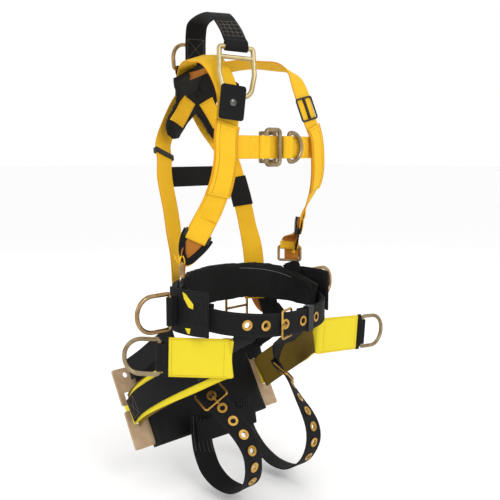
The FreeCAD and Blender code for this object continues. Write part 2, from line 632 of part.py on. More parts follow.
# ---------------------------------------------------------------- torso adjusters at the hips
ADJUST_AT = Vector(-152, 36, 82)
ADJUST_ACROSS = Vector(0.55, 0.80, 0.0)
ADJUST_DOWN = Vector(0.0, 0.0, -1.0)
ADJUSTER_ROUTE = [       # from under the shoulder strap's end, turning edge-on to the adjuster's bar
    (-138.4, -2.6, 140.2, 0.66, -0.53, -0.48, 38),
    (-140.8, 6.8, 125, 0.66, -0.50, -0.47, 34),
    (-145.0, 14, 116, 0.80, -0.10, -0.35, 28),
    (-147.5, 22, 110, 0.82, 0.35, -0.22, 27),
    (-150.5, 30, 102, 0.68, 0.68, -0.08, 32),
    (-152, 36, 91.5, 0.55, 0.80, 0.00, 37),
]
slides = []
hip_webs = []
for node, side in SIDES:
    web = ribbon(mirror_rows(ADJUSTER_ROUTE, side), 37, steps=3)
    bar = flip(ADJUST_AT, side)
    loop = at_place(web_loop(3.0, 41, 12), bar, flip(ADJUST_DOWN, side), flip(ADJUST_ACROSS, side))
    parts["adjuster_web_" + node] = web.fuse(loop)
    centre, across, outward = frames(smooth(torso_rows(side), 3)[0:3])[1]
    clip = sleeve(48, 13, 10.4, 1.8)
    clip.translate(Vector(0, 0, -2.6))
    parts["front_keeper_" + node] = at_place(clip, centre, across, outward.cross(across))
    parts["torso_adjuster_" + node] = at_place(frame_bar(36, 54, 3.0, 4), bar, flip(ADJUST_DOWN, side),
                                               flip(ADJUST_ACROSS, side))
    rows = [(-158, 44, 42, 0.50, 0.80, 0.20), (-168, 40, 22, 0.30, 0.95, 0.20),
            (-172.5, 30, -5, 0.06, 1.00, 0.20), (-172.5, 22, -40, 0.00, 1.00, 0.25)]
    hip_webs.append(ribbon(mirror_rows(rows, side), 30, steps=3))
    slide = sheet_frame(50, 68, 5, 3, centre_bar=5)
    slides.append(at_place(slide, flip(Vector(-71, 120, -54), side), UP, Vector(1, 0, 0)))
    lower = mirror_rows(TORSO_ROUTE[18:23], -side)
    for row in lower[:2]:
        row[1] += CROSSING_LIFT if side > 0 else 0
    spot = smooth(lower, 3)[4:7]
    centre, across, outward = frames(spot)[1]
    parts["rear_keeper_" + node] = at_place(sleeve(47, 12, 5.5, 1.6), centre, across, outward.cross(across))
parts["rear_slides"] = Part.makeCompound(slides)
parts["hip_webs"] = Part.makeCompound(hip_webs)
samples = smooth(TORSO_ROUTE, 3)
parts["label_sleeve"] = ribbon(samples[63:67], 50, 8, steps=1).cut(ribbon(samples[62:68], 47, 5, steps=1))

# ---------------------------------------------------------------- leg straps
for node, side in SIDES:
    rows = mirror_rows(LEG_ROUTE, side)
    strap = ribbon(rows, WEB, steps=3)
    eyelets = []
    places = frames(rows)
    for i in LEG_GROMMET_ROWS:
        centre, across, outward = places[i]
        strap = strap.cut(grommet_hole(centre, outward))
        eyelets.append(grommet(centre, outward))
    parts["leg_strap_" + node] = strap
    parts["leg_grommets_" + node] = Part.makeCompound(eyelets)
    centre, across, outward = places[LEG_GROMMET_ROWS[-1]]
    down = unit(Vector(*rows[13][:3]) - Vector(*rows[14][:3]))
    hinge = centre - down * LEG_PIERCE - outward * LEG_LIFT
    tongue_buckle("leg_buckle_" + node, hinge, down, across, LEG_LIFT, LEG_PIERCE, 46)
    start = hinge - down * 9
    stub = [(start.x, start.y, start.z, across.x, across.y, across.z, 41)]
    riser = ribbon(stub + [row + (width,) for row, width in zip(RISER_ROUTE[node], (42, 45, 45, 45, 45))], WEB, steps=3)
    loop = at_place(web_loop(BUCKLE_R, 44, 12).cut(TONGUE_NOTCH), hinge, down, across)
    parts["leg_riser_" + node] = riser.fuse(loop)

for name, shape in parts.items():
    if not shape.isValid() or shape.Volume <= 0:
        print("BAD", name, shape.isValid(), shape.Volume)
    shape.exportStep("parts/" + name + ".step")
print(len(parts), "nodes")
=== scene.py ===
import math
import bmesh
import bpy
from mathutils import Matrix, Vector
from mathutils.bvhtree import BVHTree


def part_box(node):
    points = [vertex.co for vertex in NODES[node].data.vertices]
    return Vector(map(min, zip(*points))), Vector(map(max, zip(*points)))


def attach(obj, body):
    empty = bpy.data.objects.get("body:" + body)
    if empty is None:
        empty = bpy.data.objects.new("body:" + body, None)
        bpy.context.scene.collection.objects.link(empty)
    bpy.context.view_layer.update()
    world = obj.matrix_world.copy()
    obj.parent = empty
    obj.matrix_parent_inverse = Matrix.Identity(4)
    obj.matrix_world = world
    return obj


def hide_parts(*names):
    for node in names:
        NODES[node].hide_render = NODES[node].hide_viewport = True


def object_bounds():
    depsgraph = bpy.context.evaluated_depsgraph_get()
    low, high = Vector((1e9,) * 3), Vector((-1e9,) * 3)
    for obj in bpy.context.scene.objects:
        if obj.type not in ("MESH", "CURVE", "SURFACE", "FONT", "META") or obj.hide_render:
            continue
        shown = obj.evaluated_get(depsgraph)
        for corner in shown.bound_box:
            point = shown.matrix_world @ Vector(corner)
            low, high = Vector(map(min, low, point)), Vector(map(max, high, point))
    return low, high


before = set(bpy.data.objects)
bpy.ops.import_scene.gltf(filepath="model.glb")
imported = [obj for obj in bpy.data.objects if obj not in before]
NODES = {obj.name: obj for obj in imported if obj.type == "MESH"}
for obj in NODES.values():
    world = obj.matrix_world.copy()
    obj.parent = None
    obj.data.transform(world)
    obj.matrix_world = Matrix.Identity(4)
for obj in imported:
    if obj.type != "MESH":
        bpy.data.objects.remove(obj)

# Tower climber's full-body harness.  Routes are in millimetres here and in metres in the scene.
CAD_BOX = [list(corner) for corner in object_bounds()]
MM = 0.001
SIDES = (("right", 1), ("left", -1))
ROOT = "harness"


# ---------------------------------------------------------------- routes
WEB = 45.0
WEB_T = 2.5
TORSO_ROUTE = [
    (-144, 2, 125, 0.62, -0.55, -0.50),
    (-139, -10, 150, 0.70, -0.50, -0.45),
    (-136, -30, 180, 0.80, -0.42, -0.30),
    (-134, -47, 210, 0.90, -0.32, -0.15),
    (-131, -57, 240, 0.97, -0.24, -0.05),
    (-127, -61, 275, 0.98, -0.20, 0.00),
    (-124, -59, 315, 0.98, -0.20, 0.00),
    (-113, -54, 350, 0.97, -0.20, 0.20),
    (-104, -46, 385, 0.96, -0.20, 0.25),
    (-103, -34, 415, 0.95, -0.20, 0.28),
    (-105, -17, 442, 0.92, -0.20, 0.33),
    (-101, 9, 459, 0.92, -0.10, 0.35),
    (-91, 47, 465, 0.93, 0.05, 0.33),
    (-70, 95, 470, 0.93, 0.25, 0.25),
    (-46, 140, 462, 0.90, 0.35, 0.05),
    (-20, 176, 438, 0.85, 0.20, -0.35),
    (0, 190, 412, 0.82, 0.10, -0.50),
    (28, 193, 375, 0.80, 0.00, -0.50),
    (55, 189, 338, 0.85, -0.20, -0.40),
    (77, 178, 305, 0.88, -0.32, -0.20),
    (91, 164, 272, 0.93, -0.28, -0.10),
    (99, 152, 232, 0.98, -0.20, 0.00),
    (102, 131, 170, 0.98, -0.20, 0.00),
    (104, 119, 125, 0.98, -0.20, 0.00),
    (108, 110, 85, 0.90, -0.40, 0.00),
    (111, 106, 45, 0.85, -0.52, 0.00),
    (111, 104, 0, 0.85, -0.52, 0.00),
    (110, 103, -38, 0.85, -0.52, 0.00),
]
CROSSING = range(14, 20)
CROSSING_LIFT = 6.0
LEFT_CANT = {7: (0.98, 0.10, 0.00), 8: (0.97, 0.05, 0.08), 9: (0.96, 0.05, 0.05), 10: (0.94, 0.12, -0.15)}
LEG_ROUTE = [
    (-62, 94, -258, 1.00, -0.10, 0.00),
    (-65, 88, -287, 0.95, -0.20, 0.00),
    (-67, 81, -313, 0.92, -0.30, 0.05),
    (-71, 68, -337, 0.90, -0.35, 0.10),
    (-75, 44, -364, 0.92, -0.30, 0.10),
    (-76, 8, -381, 0.95, -0.20, 0.10),
    (-76, -34, -381, 0.97, -0.15, 0.10),
    (-78, -65, -366, 0.98, -0.10, 0.10),
    (-82, -85, -343, 0.98, -0.08, 0.10),
    (-87, -95, -311, 1.00, 0.00, 0.05),
    (-89, -91, -279, 1.00, -0.05, 0.10),
    (-92, -72, -252, 0.95, -0.15, 0.20),
    (-96, -47, -230, 0.88, -0.30, 0.32),
    (-101, -22, -209, 0.80, -0.40, 0.42),
    (-106, 4, -189, 0.76, -0.44, 0.44),
    (-112, 32, -168, 0.76, -0.44, 0.44),
]
LEG_GROMMET_ROWS = (8, 9, 10, 11, 12, 13, 14)
BELT_A, BELT_B, BELT_POWER, BELT_Z, BELT_TILT, BELT_LEAN = 165.0, 114.0, 0.86, -15.0, 0.19, -0.035
GROMMET_ANGLES = (234, 248.5, 263.5, 276, 291)
SADDLE_H = 76.0
SADDLE_ROUTE = [
    (-178, 190, -258, 0.00, 0.49, 0.87, 52),
    (-186, 160, -240, 0.00, 0.49, 0.87, 54),
    (-194, 118, -206, 0.00, 0.45, 0.89, 62),
    (-186, 62, -168, 0.00, 0.35, 0.93, 70),
    (-164, 8, -134, 0.00, 0.20, 0.97, 76),
    (-138, -38, -106, 0.00, 0.08, 0.99, 76),
    (-124, -62, -95, 0.00, 0.02, 1.00, 76),
]
SADDLE_BEND = (-119, -70, -95)
SADDLE_REACH = 139.0
SADDLE_FOLD_R = 5.0
SADDLE_OUT = {"right": Vector((-0.716, 0.698, 0.03)), "left": Vector((0.99, -0.08, -0.08))}
EXTENSION_ROUTE = [(0, 169, 464), (0, 169, 497), (-1, 166, 532), (-7, 152, 551), (-28, 102, 556),
                   (-52, 44, 553), (-62, 18, 544), (-73, -18, 515), (-81, -38, 495), (-82.8, -44, 487)]
EXTENSION_ACROSS = (0.93, -0.37, 0.0)
CHEST_Z = 297
CHEST_Y = -70
CHEST_W = 43


# ---------------------------------------------------------------- strap geometry
def smooth(rows, steps):
    """Catmull-Rom samples through rows of numbers, `steps` to each interval."""
    result = []
    last = len(rows) - 1
    for i in range(last):
        quad = (rows[max(i - 1, 0)], rows[i], rows[i + 1], rows[min(i + 2, last)])
        for k in range(steps):
            t = k / steps
            result.append([0.5 * (2 * b + (c - a) * t + (2 * a - 5 * b + 4 * c - d) * t ** 2
                                  + (3 * b - a - 3 * c + d) * t ** 3) for a, b, c, d in zip(*quad)])
    result.append(list(rows[last]))
    return result


def mirror_rows(rows, side):
    return [[row[0] * side, row[1], row[2], row[3], row[4] * side, row[5] * side] + list(row[6:])
            for row in rows]


def frames(rows, lift=0.0):
    """Centre, across, along and outward directions at each row."""
    result = []
    for i, row in enumerate(rows):
        along = (Vector(rows[min(i + 1, len(rows) - 1)][:3]) - Vector(rows[max(i - 1, 0)][:3])).normalized()
        across = Vector(row[3:6])
        across = (across - along * across.dot(along)).normalized()
        outward = across.cross(along).normalized()
        result.append((Vector(row[:3]) + outward * lift, across, along, outward))
    return result


class Route:
    """A strap's sampled centre line, with its own directions, so that stitches can be laid on it."""

    def __init__(self, rows, width, thick=WEB_T, lift=0.0, steps=4):
        self.rows = smooth(rows, steps) if steps > 1 else [list(row) for row in rows]
        self.places = frames(self.rows, lift)
        self.width = [row[6] if len(row) > 6 else width for row in self.rows]
        self.thick = thick
        self.run = [0.0]
        for a, b in zip(self.places, self.places[1:]):
            self.run.append(self.run[-1] + (b[0] - a[0]).length)

    def at(self, s, t, side=1, proud=0.0):
        """Point and outward direction at s mm along and t from -1 to 1 across; side is the face."""
        s = min(max(s, 0.0), self.run[-1] - 1e-4)
        i = max(k for k in range(len(self.run) - 1) if self.run[k] <= s)
        f = (s - self.run[i]) / max(self.run[i + 1] - self.run[i], 1e-6)
        a, b = self.places[i], self.places[i + 1]
        centre = a[0].lerp(b[0], f)
        across = a[1].lerp(b[1], f).normalized()
        outward = a[3].lerp(b[3], f).normalized() * side
        half = (self.width[i] * (1 - f) + self.width[i + 1] * f) / 2
        return centre + across * (half * t) + outward * (self.thick / 2 + proud), outward


# ---------------------------------------------------------------- materials
def new_material(name, colour, rough, metal=0.0):
    mat = bpy.data.materials.new(name)
    mat.use_nodes = True
    mat.node_tree.nodes.clear()
    out = mat.node_tree.nodes.new("ShaderNodeOutputMaterial")
    shader = mat.node_tree.nodes.new("ShaderNodeBsdfPrincipled")
    mat.node_tree.links.new(shader.outputs[0], out.inputs[0])
    shader.inputs["Base Color"].default_value = (*colour, 1)
    shader.inputs["Roughness"].default_value = rough
    shader.inputs["Metallic"].default_value = metal
    mat.diffuse_color = (*colour, 1)
    return mat, shader


def add(mat, kind, **values):
    node = mat.node_tree.nodes.new("ShaderNode" + kind)
    for key, value in values.items():
        if key in node.inputs:
            node.inputs[key].default_value = value
        else:
            setattr(node, key, value)
    return node


def wire(mat, source, target):
    mat.node_tree.links.new(source, target)


def maths(mat, operation, first, second=None):
    node = mat.node_tree.nodes.new("ShaderNodeMath")
    node.operation = operation
    for socket, value in zip(node.inputs, (first, second)):
        if value is None:
            continue
        if isinstance(value, (int, float)):
            socket.default_value = value
        else:
            wire(mat, value, socket)
    return node.outputs[0]


def blend_colour(mat, amount, low, high):
    node = mat.node_tree.nodes.new("ShaderNodeMix")
    node.data_type = "RGBA"
    for socket, value in ((node.inputs[0], amount), (node.inputs[6], low), (node.inputs[7], high)):
        if isinstance(value, tuple):
            socket.default_value = (*value, 1)
        elif isinstance(value, (int, float)):
            socket.default_value = value
        else:
            wire(mat, value, socket)
    return node.outputs[2]


def set_bump(mat, shader, height, strength, distance):
    bump = add(mat, "Bump", Strength=strength, Distance=distance)
    wire(mat, height, bump.inputs["Height"])
    wire(mat, bump.outputs[0], shader.inputs["Normal"])


def ramp(mat, value, low, high):
    node = add(mat, "MapRange")
    node.interpolation_type = "SMOOTHSTEP"
    node.inputs[1].default_value = low
    node.inputs[2].default_value = high
    wire(mat, value, node.inputs[0])
    return node.outputs[0]


RIB = 0.0016          # pitch of the webbing's ribs, metres
PICK = 0.0011         # pitch of its cross threads


def webbing(name, colour, edge, soil, rough=0.72, half=0.0225, gloss=0.12):
    """Woven polyester: herringbone ribs, painted shade at the selvedges and in the weave's grooves, and
    slight soiling.
    """
    mat, shader = new_material(name, colour, rough)
    uv = add(mat, "UVMap", uv_map="weave")
    split = add(mat, "SeparateXYZ")
    wire(mat, uv.outputs[0], split.inputs[0])
    across, along = split.outputs[0], split.outputs[1]
    zig = maths(mat, "PINGPONG", across, RIB * 3)
    slant = maths(mat, "ADD", along, zig)
    pick = maths(mat, "SINE", maths(mat, "MULTIPLY", slant, 2 * math.pi / PICK))
    rib = maths(mat, "SINE", maths(mat, "MULTIPLY", across, 2 * math.pi / RIB))
    weave = maths(mat, "ADD", maths(mat, "MULTIPLY", pick, 0.5), rib)
    set_bump(mat, shader, weave, 0.35, 0.00025)
    cloud = add(mat, "TexNoise", Scale=55.0, Detail=4.0)
    coords = add(mat, "TexCoord")
    wire(mat, coords.outputs["Object"], cloud.inputs["Vector"])
    stain = ramp(mat, cloud.outputs[0], 0.45, 0.8)
    # Painted shade: the edge colour stands for the strap's sides turned from the light (on the black webs it
    # is a touch lighter, a faint painted highlight).
    painted_edge_shade = ramp(mat, maths(mat, "ABSOLUTE", across), half * 0.90, half * 0.99)
    shade = ramp(mat, weave, -1.4, 1.4)
    tone = blend_colour(mat, maths(mat, "MULTIPLY", stain, 0.35), colour, soil)
    tone = blend_colour(mat, maths(mat, "MULTIPLY", painted_edge_shade, 0.75), tone, edge)
    # Painted shade in the weave's grooves: darker where the weave's height is low.
    dark = tuple(c * 0.80 for c in colour)
    tone = blend_colour(mat, maths(mat, "SUBTRACT", 0.22, maths(mat, "MULTIPLY", shade, 0.22)), tone, dark)
    wire(mat, tone, shader.inputs["Base Color"])
    shader.inputs["Specular IOR Level"].default_value = gloss
    return mat


def pad_cloth(name, colour, light, rough=0.62, grain=0.0011, gloss=0.12):
    """Coated pad fabric: a fine pebble grain with worn, lighter high spots."""
    mat, shader = new_material(name, colour, rough)
    coords = add(mat, "TexCoord")
    cells = add(mat, "TexVoronoi", Scale=1 / grain)
    cloud = add(mat, "TexNoise", Scale=28.0, Detail=5.0)
    for node in (cells, cloud):
        wire(mat, coords.outputs["Object"], node.inputs["Vector"])
    set_bump(mat, shader, cells.outputs["Distance"], 0.30, 0.0003)
    tone = blend_colour(mat, ramp(mat, cloud.outputs[0], 0.45, 0.75), colour, light)
    wire(mat, tone, shader.inputs["Base Color"])
    uneven = maths(mat, "MULTIPLY_ADD", cloud.outputs[0], 0.22)
    uneven.node.inputs[2].default_value = rough - 0.11
    wire(mat, uneven, shader.inputs["Roughness"])
    shader.inputs["Specular IOR Level"].default_value = gloss
    return mat


def metal(name, colour, worn, rough, metallic=1.0):
    """Forged and plated metal: cloudy plating, fine grain and lighter scuffs."""
    mat, shader = new_material(name, colour, rough, metallic)
    coords = add(mat, "TexCoord")
    cloud = add(mat, "TexNoise", Scale=45.0, Detail=6.0, Roughness=0.6)
    fine = add(mat, "TexNoise", Scale=900.0, Detail=3.0)
    scuff = add(mat, "TexNoise", Scale=150.0, Detail=8.0, Roughness=0.75)
    for node in (cloud, fine, scuff):
        wire(mat, coords.outputs["Object"], node.inputs["Vector"])
    tone = blend_colour(mat, ramp(mat, cloud.outputs[0], 0.35, 0.7), colour, worn)
    bare = tuple(min(1.0, c * 1.25 + 0.05) for c in worn)
    tone = blend_colour(mat, maths(mat, "MULTIPLY", ramp(mat, scuff.outputs[0], 0.58, 0.72), 0.5), tone, bare)
    wire(mat, tone, shader.inputs["Base Color"])
    uneven = maths(mat, "MULTIPLY_ADD", scuff.outputs[0], 0.25)
    uneven.node.inputs[2].default_value = max(rough - 0.12, 0.05)
    wire(mat, uneven, shader.inputs["Roughness"])
    set_bump(mat, shader, fine.outputs[0], 0.12, 0.0002)
    return mat


def plastic(name, colour, rough=0.42):
    """Moulded nylon: faint spark-eroded texture."""
    mat, shader = new_material(name, colour, rough)
    coords = add(mat, "TexCoord")
    fine = add(mat, "TexNoise", Scale=1400.0, Detail=2.0)
    wire(mat, coords.outputs["Object"], fine.inputs["Vector"])
    set_bump(mat, shader, fine.outputs[0], 0.2, 0.0002)
    light = tuple(c * 1.6 + 0.01 for c in colour)
    tone = blend_colour(mat, ramp(mat, fine.outputs[0], 0.4, 0.7), colour, light)
    wire(mat, tone, shader.inputs["Base Color"])
    return mat


def thread(name, colour, light):
    return pad_cloth(name, colour, light, rough=0.6, grain=0.0004)


YELLOW = webbing("yellow_webbing", (0.83, 0.48, 0.020), (0.62, 0.22, 0.008), (0.72, 0.36, 0.015))
YELLOW_WIDE = webbing("yellow_saddle", (0.76, 0.62, 0.028), (0.66, 0.46, 0.015), (0.72, 0.56, 0.03),
                      half=0.038)
BLACK = webbing("black_webbing", (0.0045, 0.0045, 0.005), (0.007, 0.007, 0.008), (0.008, 0.007, 0.006),
                rough=0.8, gloss=0.22)
PAD = pad_cloth("black_pad", (0.0028, 0.0028, 0.003), (0.006, 0.006, 0.0065), gloss=0.22)
# Painted shade: the yellow webbing darkened to orange-brown, for inner faces and webs seen in shade.
YELLOW_IN_SHADE = webbing("yellow_webbing_in_shade", (0.42, 0.155, 0.022), (0.30, 0.10, 0.015), (0.36, 0.13, 0.02))
# Grey for the leg tacks' thread and for the lumbar piping, which is also a painted highlight.
GREY_CORD_AND_HIGHLIGHT = pad_cloth("grey_cord_and_highlight", (0.16, 0.16, 0.17), (0.26, 0.26, 0.27), rough=0.5)
# Olive-brown for the saddle strap's inner run: partly its darker inner face, partly painted shade.
SADDLE_SHADE = webbing("saddle_shade_lining", (0.19, 0.125, 0.018), (0.12, 0.07, 0.012), (0.14, 0.085, 0.014), half=0.037)
THREAD_DARK = thread("thread_dark", (0.13, 0.06, 0.008), (0.20, 0.10, 0.012))
THREAD_GOLD = thread("thread_gold", (0.46, 0.24, 0.02), (0.60, 0.33, 0.03))
THREAD_BLACK = thread("thread_black", (0.022, 0.022, 0.024), (0.045, 0.045, 0.048))
THREAD_TAN = thread("thread_tan", (0.17, 0.14, 0.11), (0.27, 0.23, 0.19))
BRASS = metal("brass", (0.42, 0.225, 0.035), (0.62, 0.38, 0.10), 0.34)
GOLD = metal("pale_gold", (0.40, 0.31, 0.14), (0.54, 0.45, 0.25), 0.42)
TAN_STEEL = metal("tan_steel", (0.23, 0.165, 0.085), (0.36, 0.28, 0.17), 0.38)
BRONZE = metal("bronze", (0.26, 0.155, 0.065), (0.44, 0.30, 0.15), 0.28)
BOARD = metal("board", (0.43, 0.29, 0.165), (0.50, 0.36, 0.22), 0.45, metallic=0.2)
SNAP = metal("snap", (0.10, 0.095, 0.085), (0.22, 0.21, 0.19), 0.28)
NYLON = plastic("black_nylon", (0.003, 0.003, 0.0033), rough=0.6)


# ---------------------------------------------------------------- making pieces
def finish_piece(name, mesh, material, body, node=None, smooth_shade=True):
    obj = bpy.data.objects.new(name, mesh)
    bpy.context.scene.collection.objects.link(obj)
    obj.data.materials.clear()
    obj.data.materials.append(material)
    if smooth_shade:
        for face in mesh.polygons:
            face.use_smooth = True
    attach(obj, body)
    if node:
        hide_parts(*([node] if isinstance(node, str) else node))
    return obj


EDGE = [(-1.0, 0.38), (-0.985, 0.78), (-0.955, 1.0), (-0.75, 1.0), (-0.45, 1.0), (-0.15, 1.0),
        (0.15, 1.0), (0.45, 1.0), (0.75, 1.0), (0.955, 1.0), (0.985, 0.78), (1.0, 0.38)]
LOOP = EDGE + [(t, -w) for t, w in reversed(EDGE)]


def face_outwards(mesh):
    bm = bmesh.new()
    bm.from_mesh(mesh)
    bmesh.ops.recalc_face_normals(bm, faces=bm.faces)
    bm.to_mesh(mesh)
    bm.free()


def strap_mesh(name, route, ripple=0.25):
    """Closed strap with rolled selvedges; the weave map holds metres across and along."""
    verts, faces, marks = [], [], []
    for (centre, across, along, outward), width, run in zip(route.places, route.width, route.run):
        wave = ripple * math.sin(run * 0.043 + route.run[-1]) * math.sin(run * 0.017 + 1.3)
        for t, w in LOOP:
            bow = 0.35 * math.sin(run * 0.071) * (1 - t * t) * ripple
            point = centre + across * (width / 2 * t) + outward * (route.thick / 2 * w + wave + bow)
            verts.append(point * MM)
            marks.append((width / 2 * t * MM, run * MM))
    n = len(LOOP)
    for i in range(len(route.places) - 1):
        for k in range(n):
            m = (k + 1) % n
            faces.append((n * i + k, n * i + m, n * i + n + m, n * i + n + k))
    for first in (0, n * (len(route.places) - 1)):
        for k in range(len(EDGE) - 1):
            cap = (first + k, first + k + 1, first + n - 2 - k, first + n - 1 - k)
            faces.append(cap if first else tuple(reversed(cap)))
    mesh = bpy.data.meshes.new(name)
    mesh.from_pydata(verts, [], faces)
    layer = mesh.uv_layers.new(name="weave")
    for loop in mesh.loops:
        layer.data[loop.index].uv = marks[loop.vertex_index]
    face_outwards(mesh)
    return mesh


def strap(name, route, material, node=None, body=ROOT, ripple=0.25):
    return finish_piece(name, strap_mesh(name, route, ripple), material, body, node)


def cut_holes(obj, holes, radius):
    """Round holes through a piece at (point, direction) pairs in millimetres."""
    bm = bmesh.new()
    for point, direction in holes:
        place = Matrix.Translation(point * MM) @ direction.to_track_quat("Z", "Y").to_matrix().to_4x4()
        bmesh.ops.create_cone(bm, cap_ends=True, segments=24, radius1=radius * MM, radius2=radius * MM,
                              depth=0.012, matrix=place)
    mesh = bpy.data.meshes.new("cutter")
    bm.to_mesh(mesh)
    bm.free()
    cutter = bpy.data.objects.new("cutter", mesh)
    bpy.context.scene.collection.objects.link(cutter)
    mod = obj.modifiers.new("holes", "BOOLEAN")
    mod.operation = "DIFFERENCE"
    mod.solver = "EXACT"
    mod.object = cutter
    bake(obj)
    bpy.data.objects.remove(cutter)


def bake(obj):
    """Replace a mesh by its evaluated self, with no modifier left."""
    depsgraph = bpy.context.evaluated_depsgraph_get()
    done = bpy.data.meshes.new_from_object(obj.evaluated_get(depsgraph))
    obj.modifiers.clear()
    obj.data = done


class Thread:
    """Rows of sewn stitches gathered into one piece."""

    def __init__(self):
        self.verts = []
        self.faces = []

    def stitch(self, start, end, normal, radius=0.42):
        along = (end - start).normalized()
        side = normal.cross(along).normalized()
        base = len(self.verts)
        for f, r in ((0.0, 0.35), (0.2, 1.0), (0.8, 1.0), (1.0, 0.35)):
            centre = start.lerp(end, f)
            for k in range(6):
                angle = math.pi * k / 3
                offset = side * (math.cos(angle) * radius * r) + normal * (math.sin(angle) * radius * r)
                self.verts.append((centre + offset) * MM)
        for ring in range(3):
            for k in range(6):
                m = (k + 1) % 6
                a = base + 6 * ring
                self.faces.append((a + k, a + m, a + 6 + m, a + 6 + k))
        self.faces.append(tuple(base + k for k in range(5, -1, -1)))
        self.faces.append(tuple(base + 18 + k for k in range(6)))

    def line(self, route, s0, t0, s1, t1, side=1, length=3.0, gap=1.3, proud=0.05):
        """Stitches between two places on a strap, given as mm along and -1 to 1 across."""
        width = max(route.width)
        span = math.hypot(s1 - s0, (t1 - t0) * width / 2)
        count = max(1, int(span / (length + gap)))
        for k in range(count):
            f0 = k / count
            f1 = f0 + length / (length + gap) / count
            a, normal = route.at(s0 + (s1 - s0) * f0, t0 + (t1 - t0) * f0, side, proud)
            b, _ = route.at(s0 + (s1 - s0) * f1, t0 + (t1 - t0) * f1, side, proud)
            self.stitch(a, b, normal)

    def box(self, route, s0, s1, t0, t1, side=1, cross=True):
        corners = [(s0, t0), (s1, t0), (s1, t1), (s0, t1)]
        for a, b in zip(corners, corners[1:] + corners[:1]):
            self.line(route, *a, *b, side=side)
        if cross:
            self.line(route, s0, t0, s1, t1, side=side)
            self.line(route, s0, t1, s1, t0, side=side)

    def done(self, name, material, slot, body=ROOT):
        mesh = bpy.data.meshes.new(name)
        mesh.from_pydata(self.verts, [], self.faces)
        return finish_piece(name, mesh, material, body)


def tube(name, points, radius, material, body=ROOT, closed=False):
    """Round cord of piping along points in millimetres."""
    curve = bpy.data.curves.new(name, "CURVE")
    curve.dimensions = "3D"
    spline = curve.splines.new("POLY")
    spline.points.add(len(points) - 1)
    for spot, point in zip(spline.points, points):
        spot.co = (*(point * MM), 1)
    spline.use_cyclic_u = closed
    curve.bevel_depth = radius * MM
    curve.bevel_resolution = 3
    curve.use_fill_caps = True
    holder = bpy.data.objects.new(name + "_path", curve)
    bpy.context.scene.collection.objects.link(holder)
    mesh = bpy.data.meshes.new_from_object(holder.evaluated_get(bpy.context.evaluated_depsgraph_get()))
    bpy.data.objects.remove(holder)
    return finish_piece(name, mesh, material, body)


def loop_rows(bar, out, across, bar_radius, width, tail, thick=WEB_T):
    """Rows of a web folded round a ring's bar: out points away from the tail."""
    out = out.normalized()
    across = (across - out * across.dot(out)).normalized()
    up = out.cross(across)
    reach = bar_radius + 0.5 + thick / 2
    spots = [(-tail, thick * 0.55), (-tail * 0.55, reach * 0.8)]
    spots += [(reach * math.sin(a), reach * math.cos(a)) for a in
              [math.radians(d) for d in range(-35, 216, 25)]]
    spots += [(-tail * 0.55, -reach * 0.8), (-tail, -thick * 0.55)]
    rows = []
    for x, z in spots:
        point = bar + out * x + up * z
        rows.append([*point, *across, width])
    return rows


def web_loop(name, bar, out, across, bar_radius, width, tail, material, node=None, body=ROOT):
    route = Route(loop_rows(bar, out, across, bar_radius, width, tail), width, steps=2)
    return strap(name, route, material, node, body, ripple=0.0)


# ---------------------------------------------------------------- torso straps
def flip(vector, side):
    return Vector((vector[0] * side, vector[1], vector[2]))


UP = Vector((0, 0, 1))
TORSO = {}
for node, side in SIDES:
    rows = mirror_rows(TORSO_ROUTE, side)
    if side < 0:
        for i in CROSSING:
            rows[i][1] += CROSSING_LIFT
        for i, across in LEFT_CANT.items():
            rows[i][3:6] = across
    route = Route(smooth(rows, 3), WEB, steps=3)
    TORSO[node] = route
    strap("torso_webbing_" + node, route, YELLOW, "torso_strap_" + node)
    samples = smooth(rows, 3)
    over = Route(samples[9:21], 50, lift=WEB_T + 1.2, steps=4)
    strap("chest_sheath_" + node, over, YELLOW, "chest_overlay_" + node)
    sewn = Thread()
    end = over.run[-1]
    for t in (-0.86, 0.86):
        sewn.line(over, 4, t, end - 4, t)
    seam = Thread()
    for t in (-0.55, 0.78):
        seam.line(over, 4, t * side, end - 4, t * side)
    seam.done("chest_sheath_seam_" + node, THREAD_DARK, "yellow_webbing")
    for s in (5, end - 5):
        sewn.line(over, s, -0.9, s, 0.9)
    for t in (-0.84, 0.84):
        sewn.line(route, 60, t, 118, t)
    sewn.done("torso_stitching_" + node, THREAD_GOLD, "yellow_webbing")

back = Route([(-94, 168.5, 236, 0, 0, 1), (-40, 172, 236, 0, 0, 1), (40, 172, 236, 0, 0, 1),
              (94, 168.5, 236, 0, 0, 1)], 42, steps=8)
strap("back_webbing", back, BLACK, "back_strap")
sewn = Thread()
for s0, s1 in ((4, 40), (back.run[-1] - 40, back.run[-1] - 4)):
    sewn.box(back, s0, s1, -0.82, 0.82, side=1)
    sewn.box(back, s0, s1, -0.82, 0.82, side=-1)
sewn.done("back_stitching", THREAD_BLACK, "black_webbing")
samples = smooth(TORSO_ROUTE, 3)
strap("label_pocket", Route(samples[63:67], 50, thick=7.6, steps=5), BLACK, "label_sleeve")

# ---------------------------------------------------------------- extension web and its ring
ext = Route([list(p) + list(EXTENSION_ACROSS) for p in EXTENSION_ROUTE], WEB, steps=8)
strap("extension_webbing", ext, BLACK, "extension_web")
EXT_BAR = Vector((-83, -45, 477))
EXT_DOWN = Vector((-0.13, -0.19, -1)).normalized()
web_loop("extension_fold", EXT_BAR, EXT_DOWN, Vector(EXTENSION_ACROSS), 4.6, 44, 14, BLACK)
sewn = Thread()
for side in (1, -1):
    end = ext.run[-1]
    for t in (-0.84, -0.42, 0.0, 0.42, 0.84):
        sewn.line(ext, end - 62, t, end - 14, t, side=side)
    for s in (14, 26, 38, 50, 62):
        sewn.line(ext, end - s, -0.84, end - s, 0.84, side=side)
    sewn.box(ext, 18, 58, -0.8, 0.8, side=side)
sewn.done("extension_stitching", THREAD_TAN, "black_webbing")

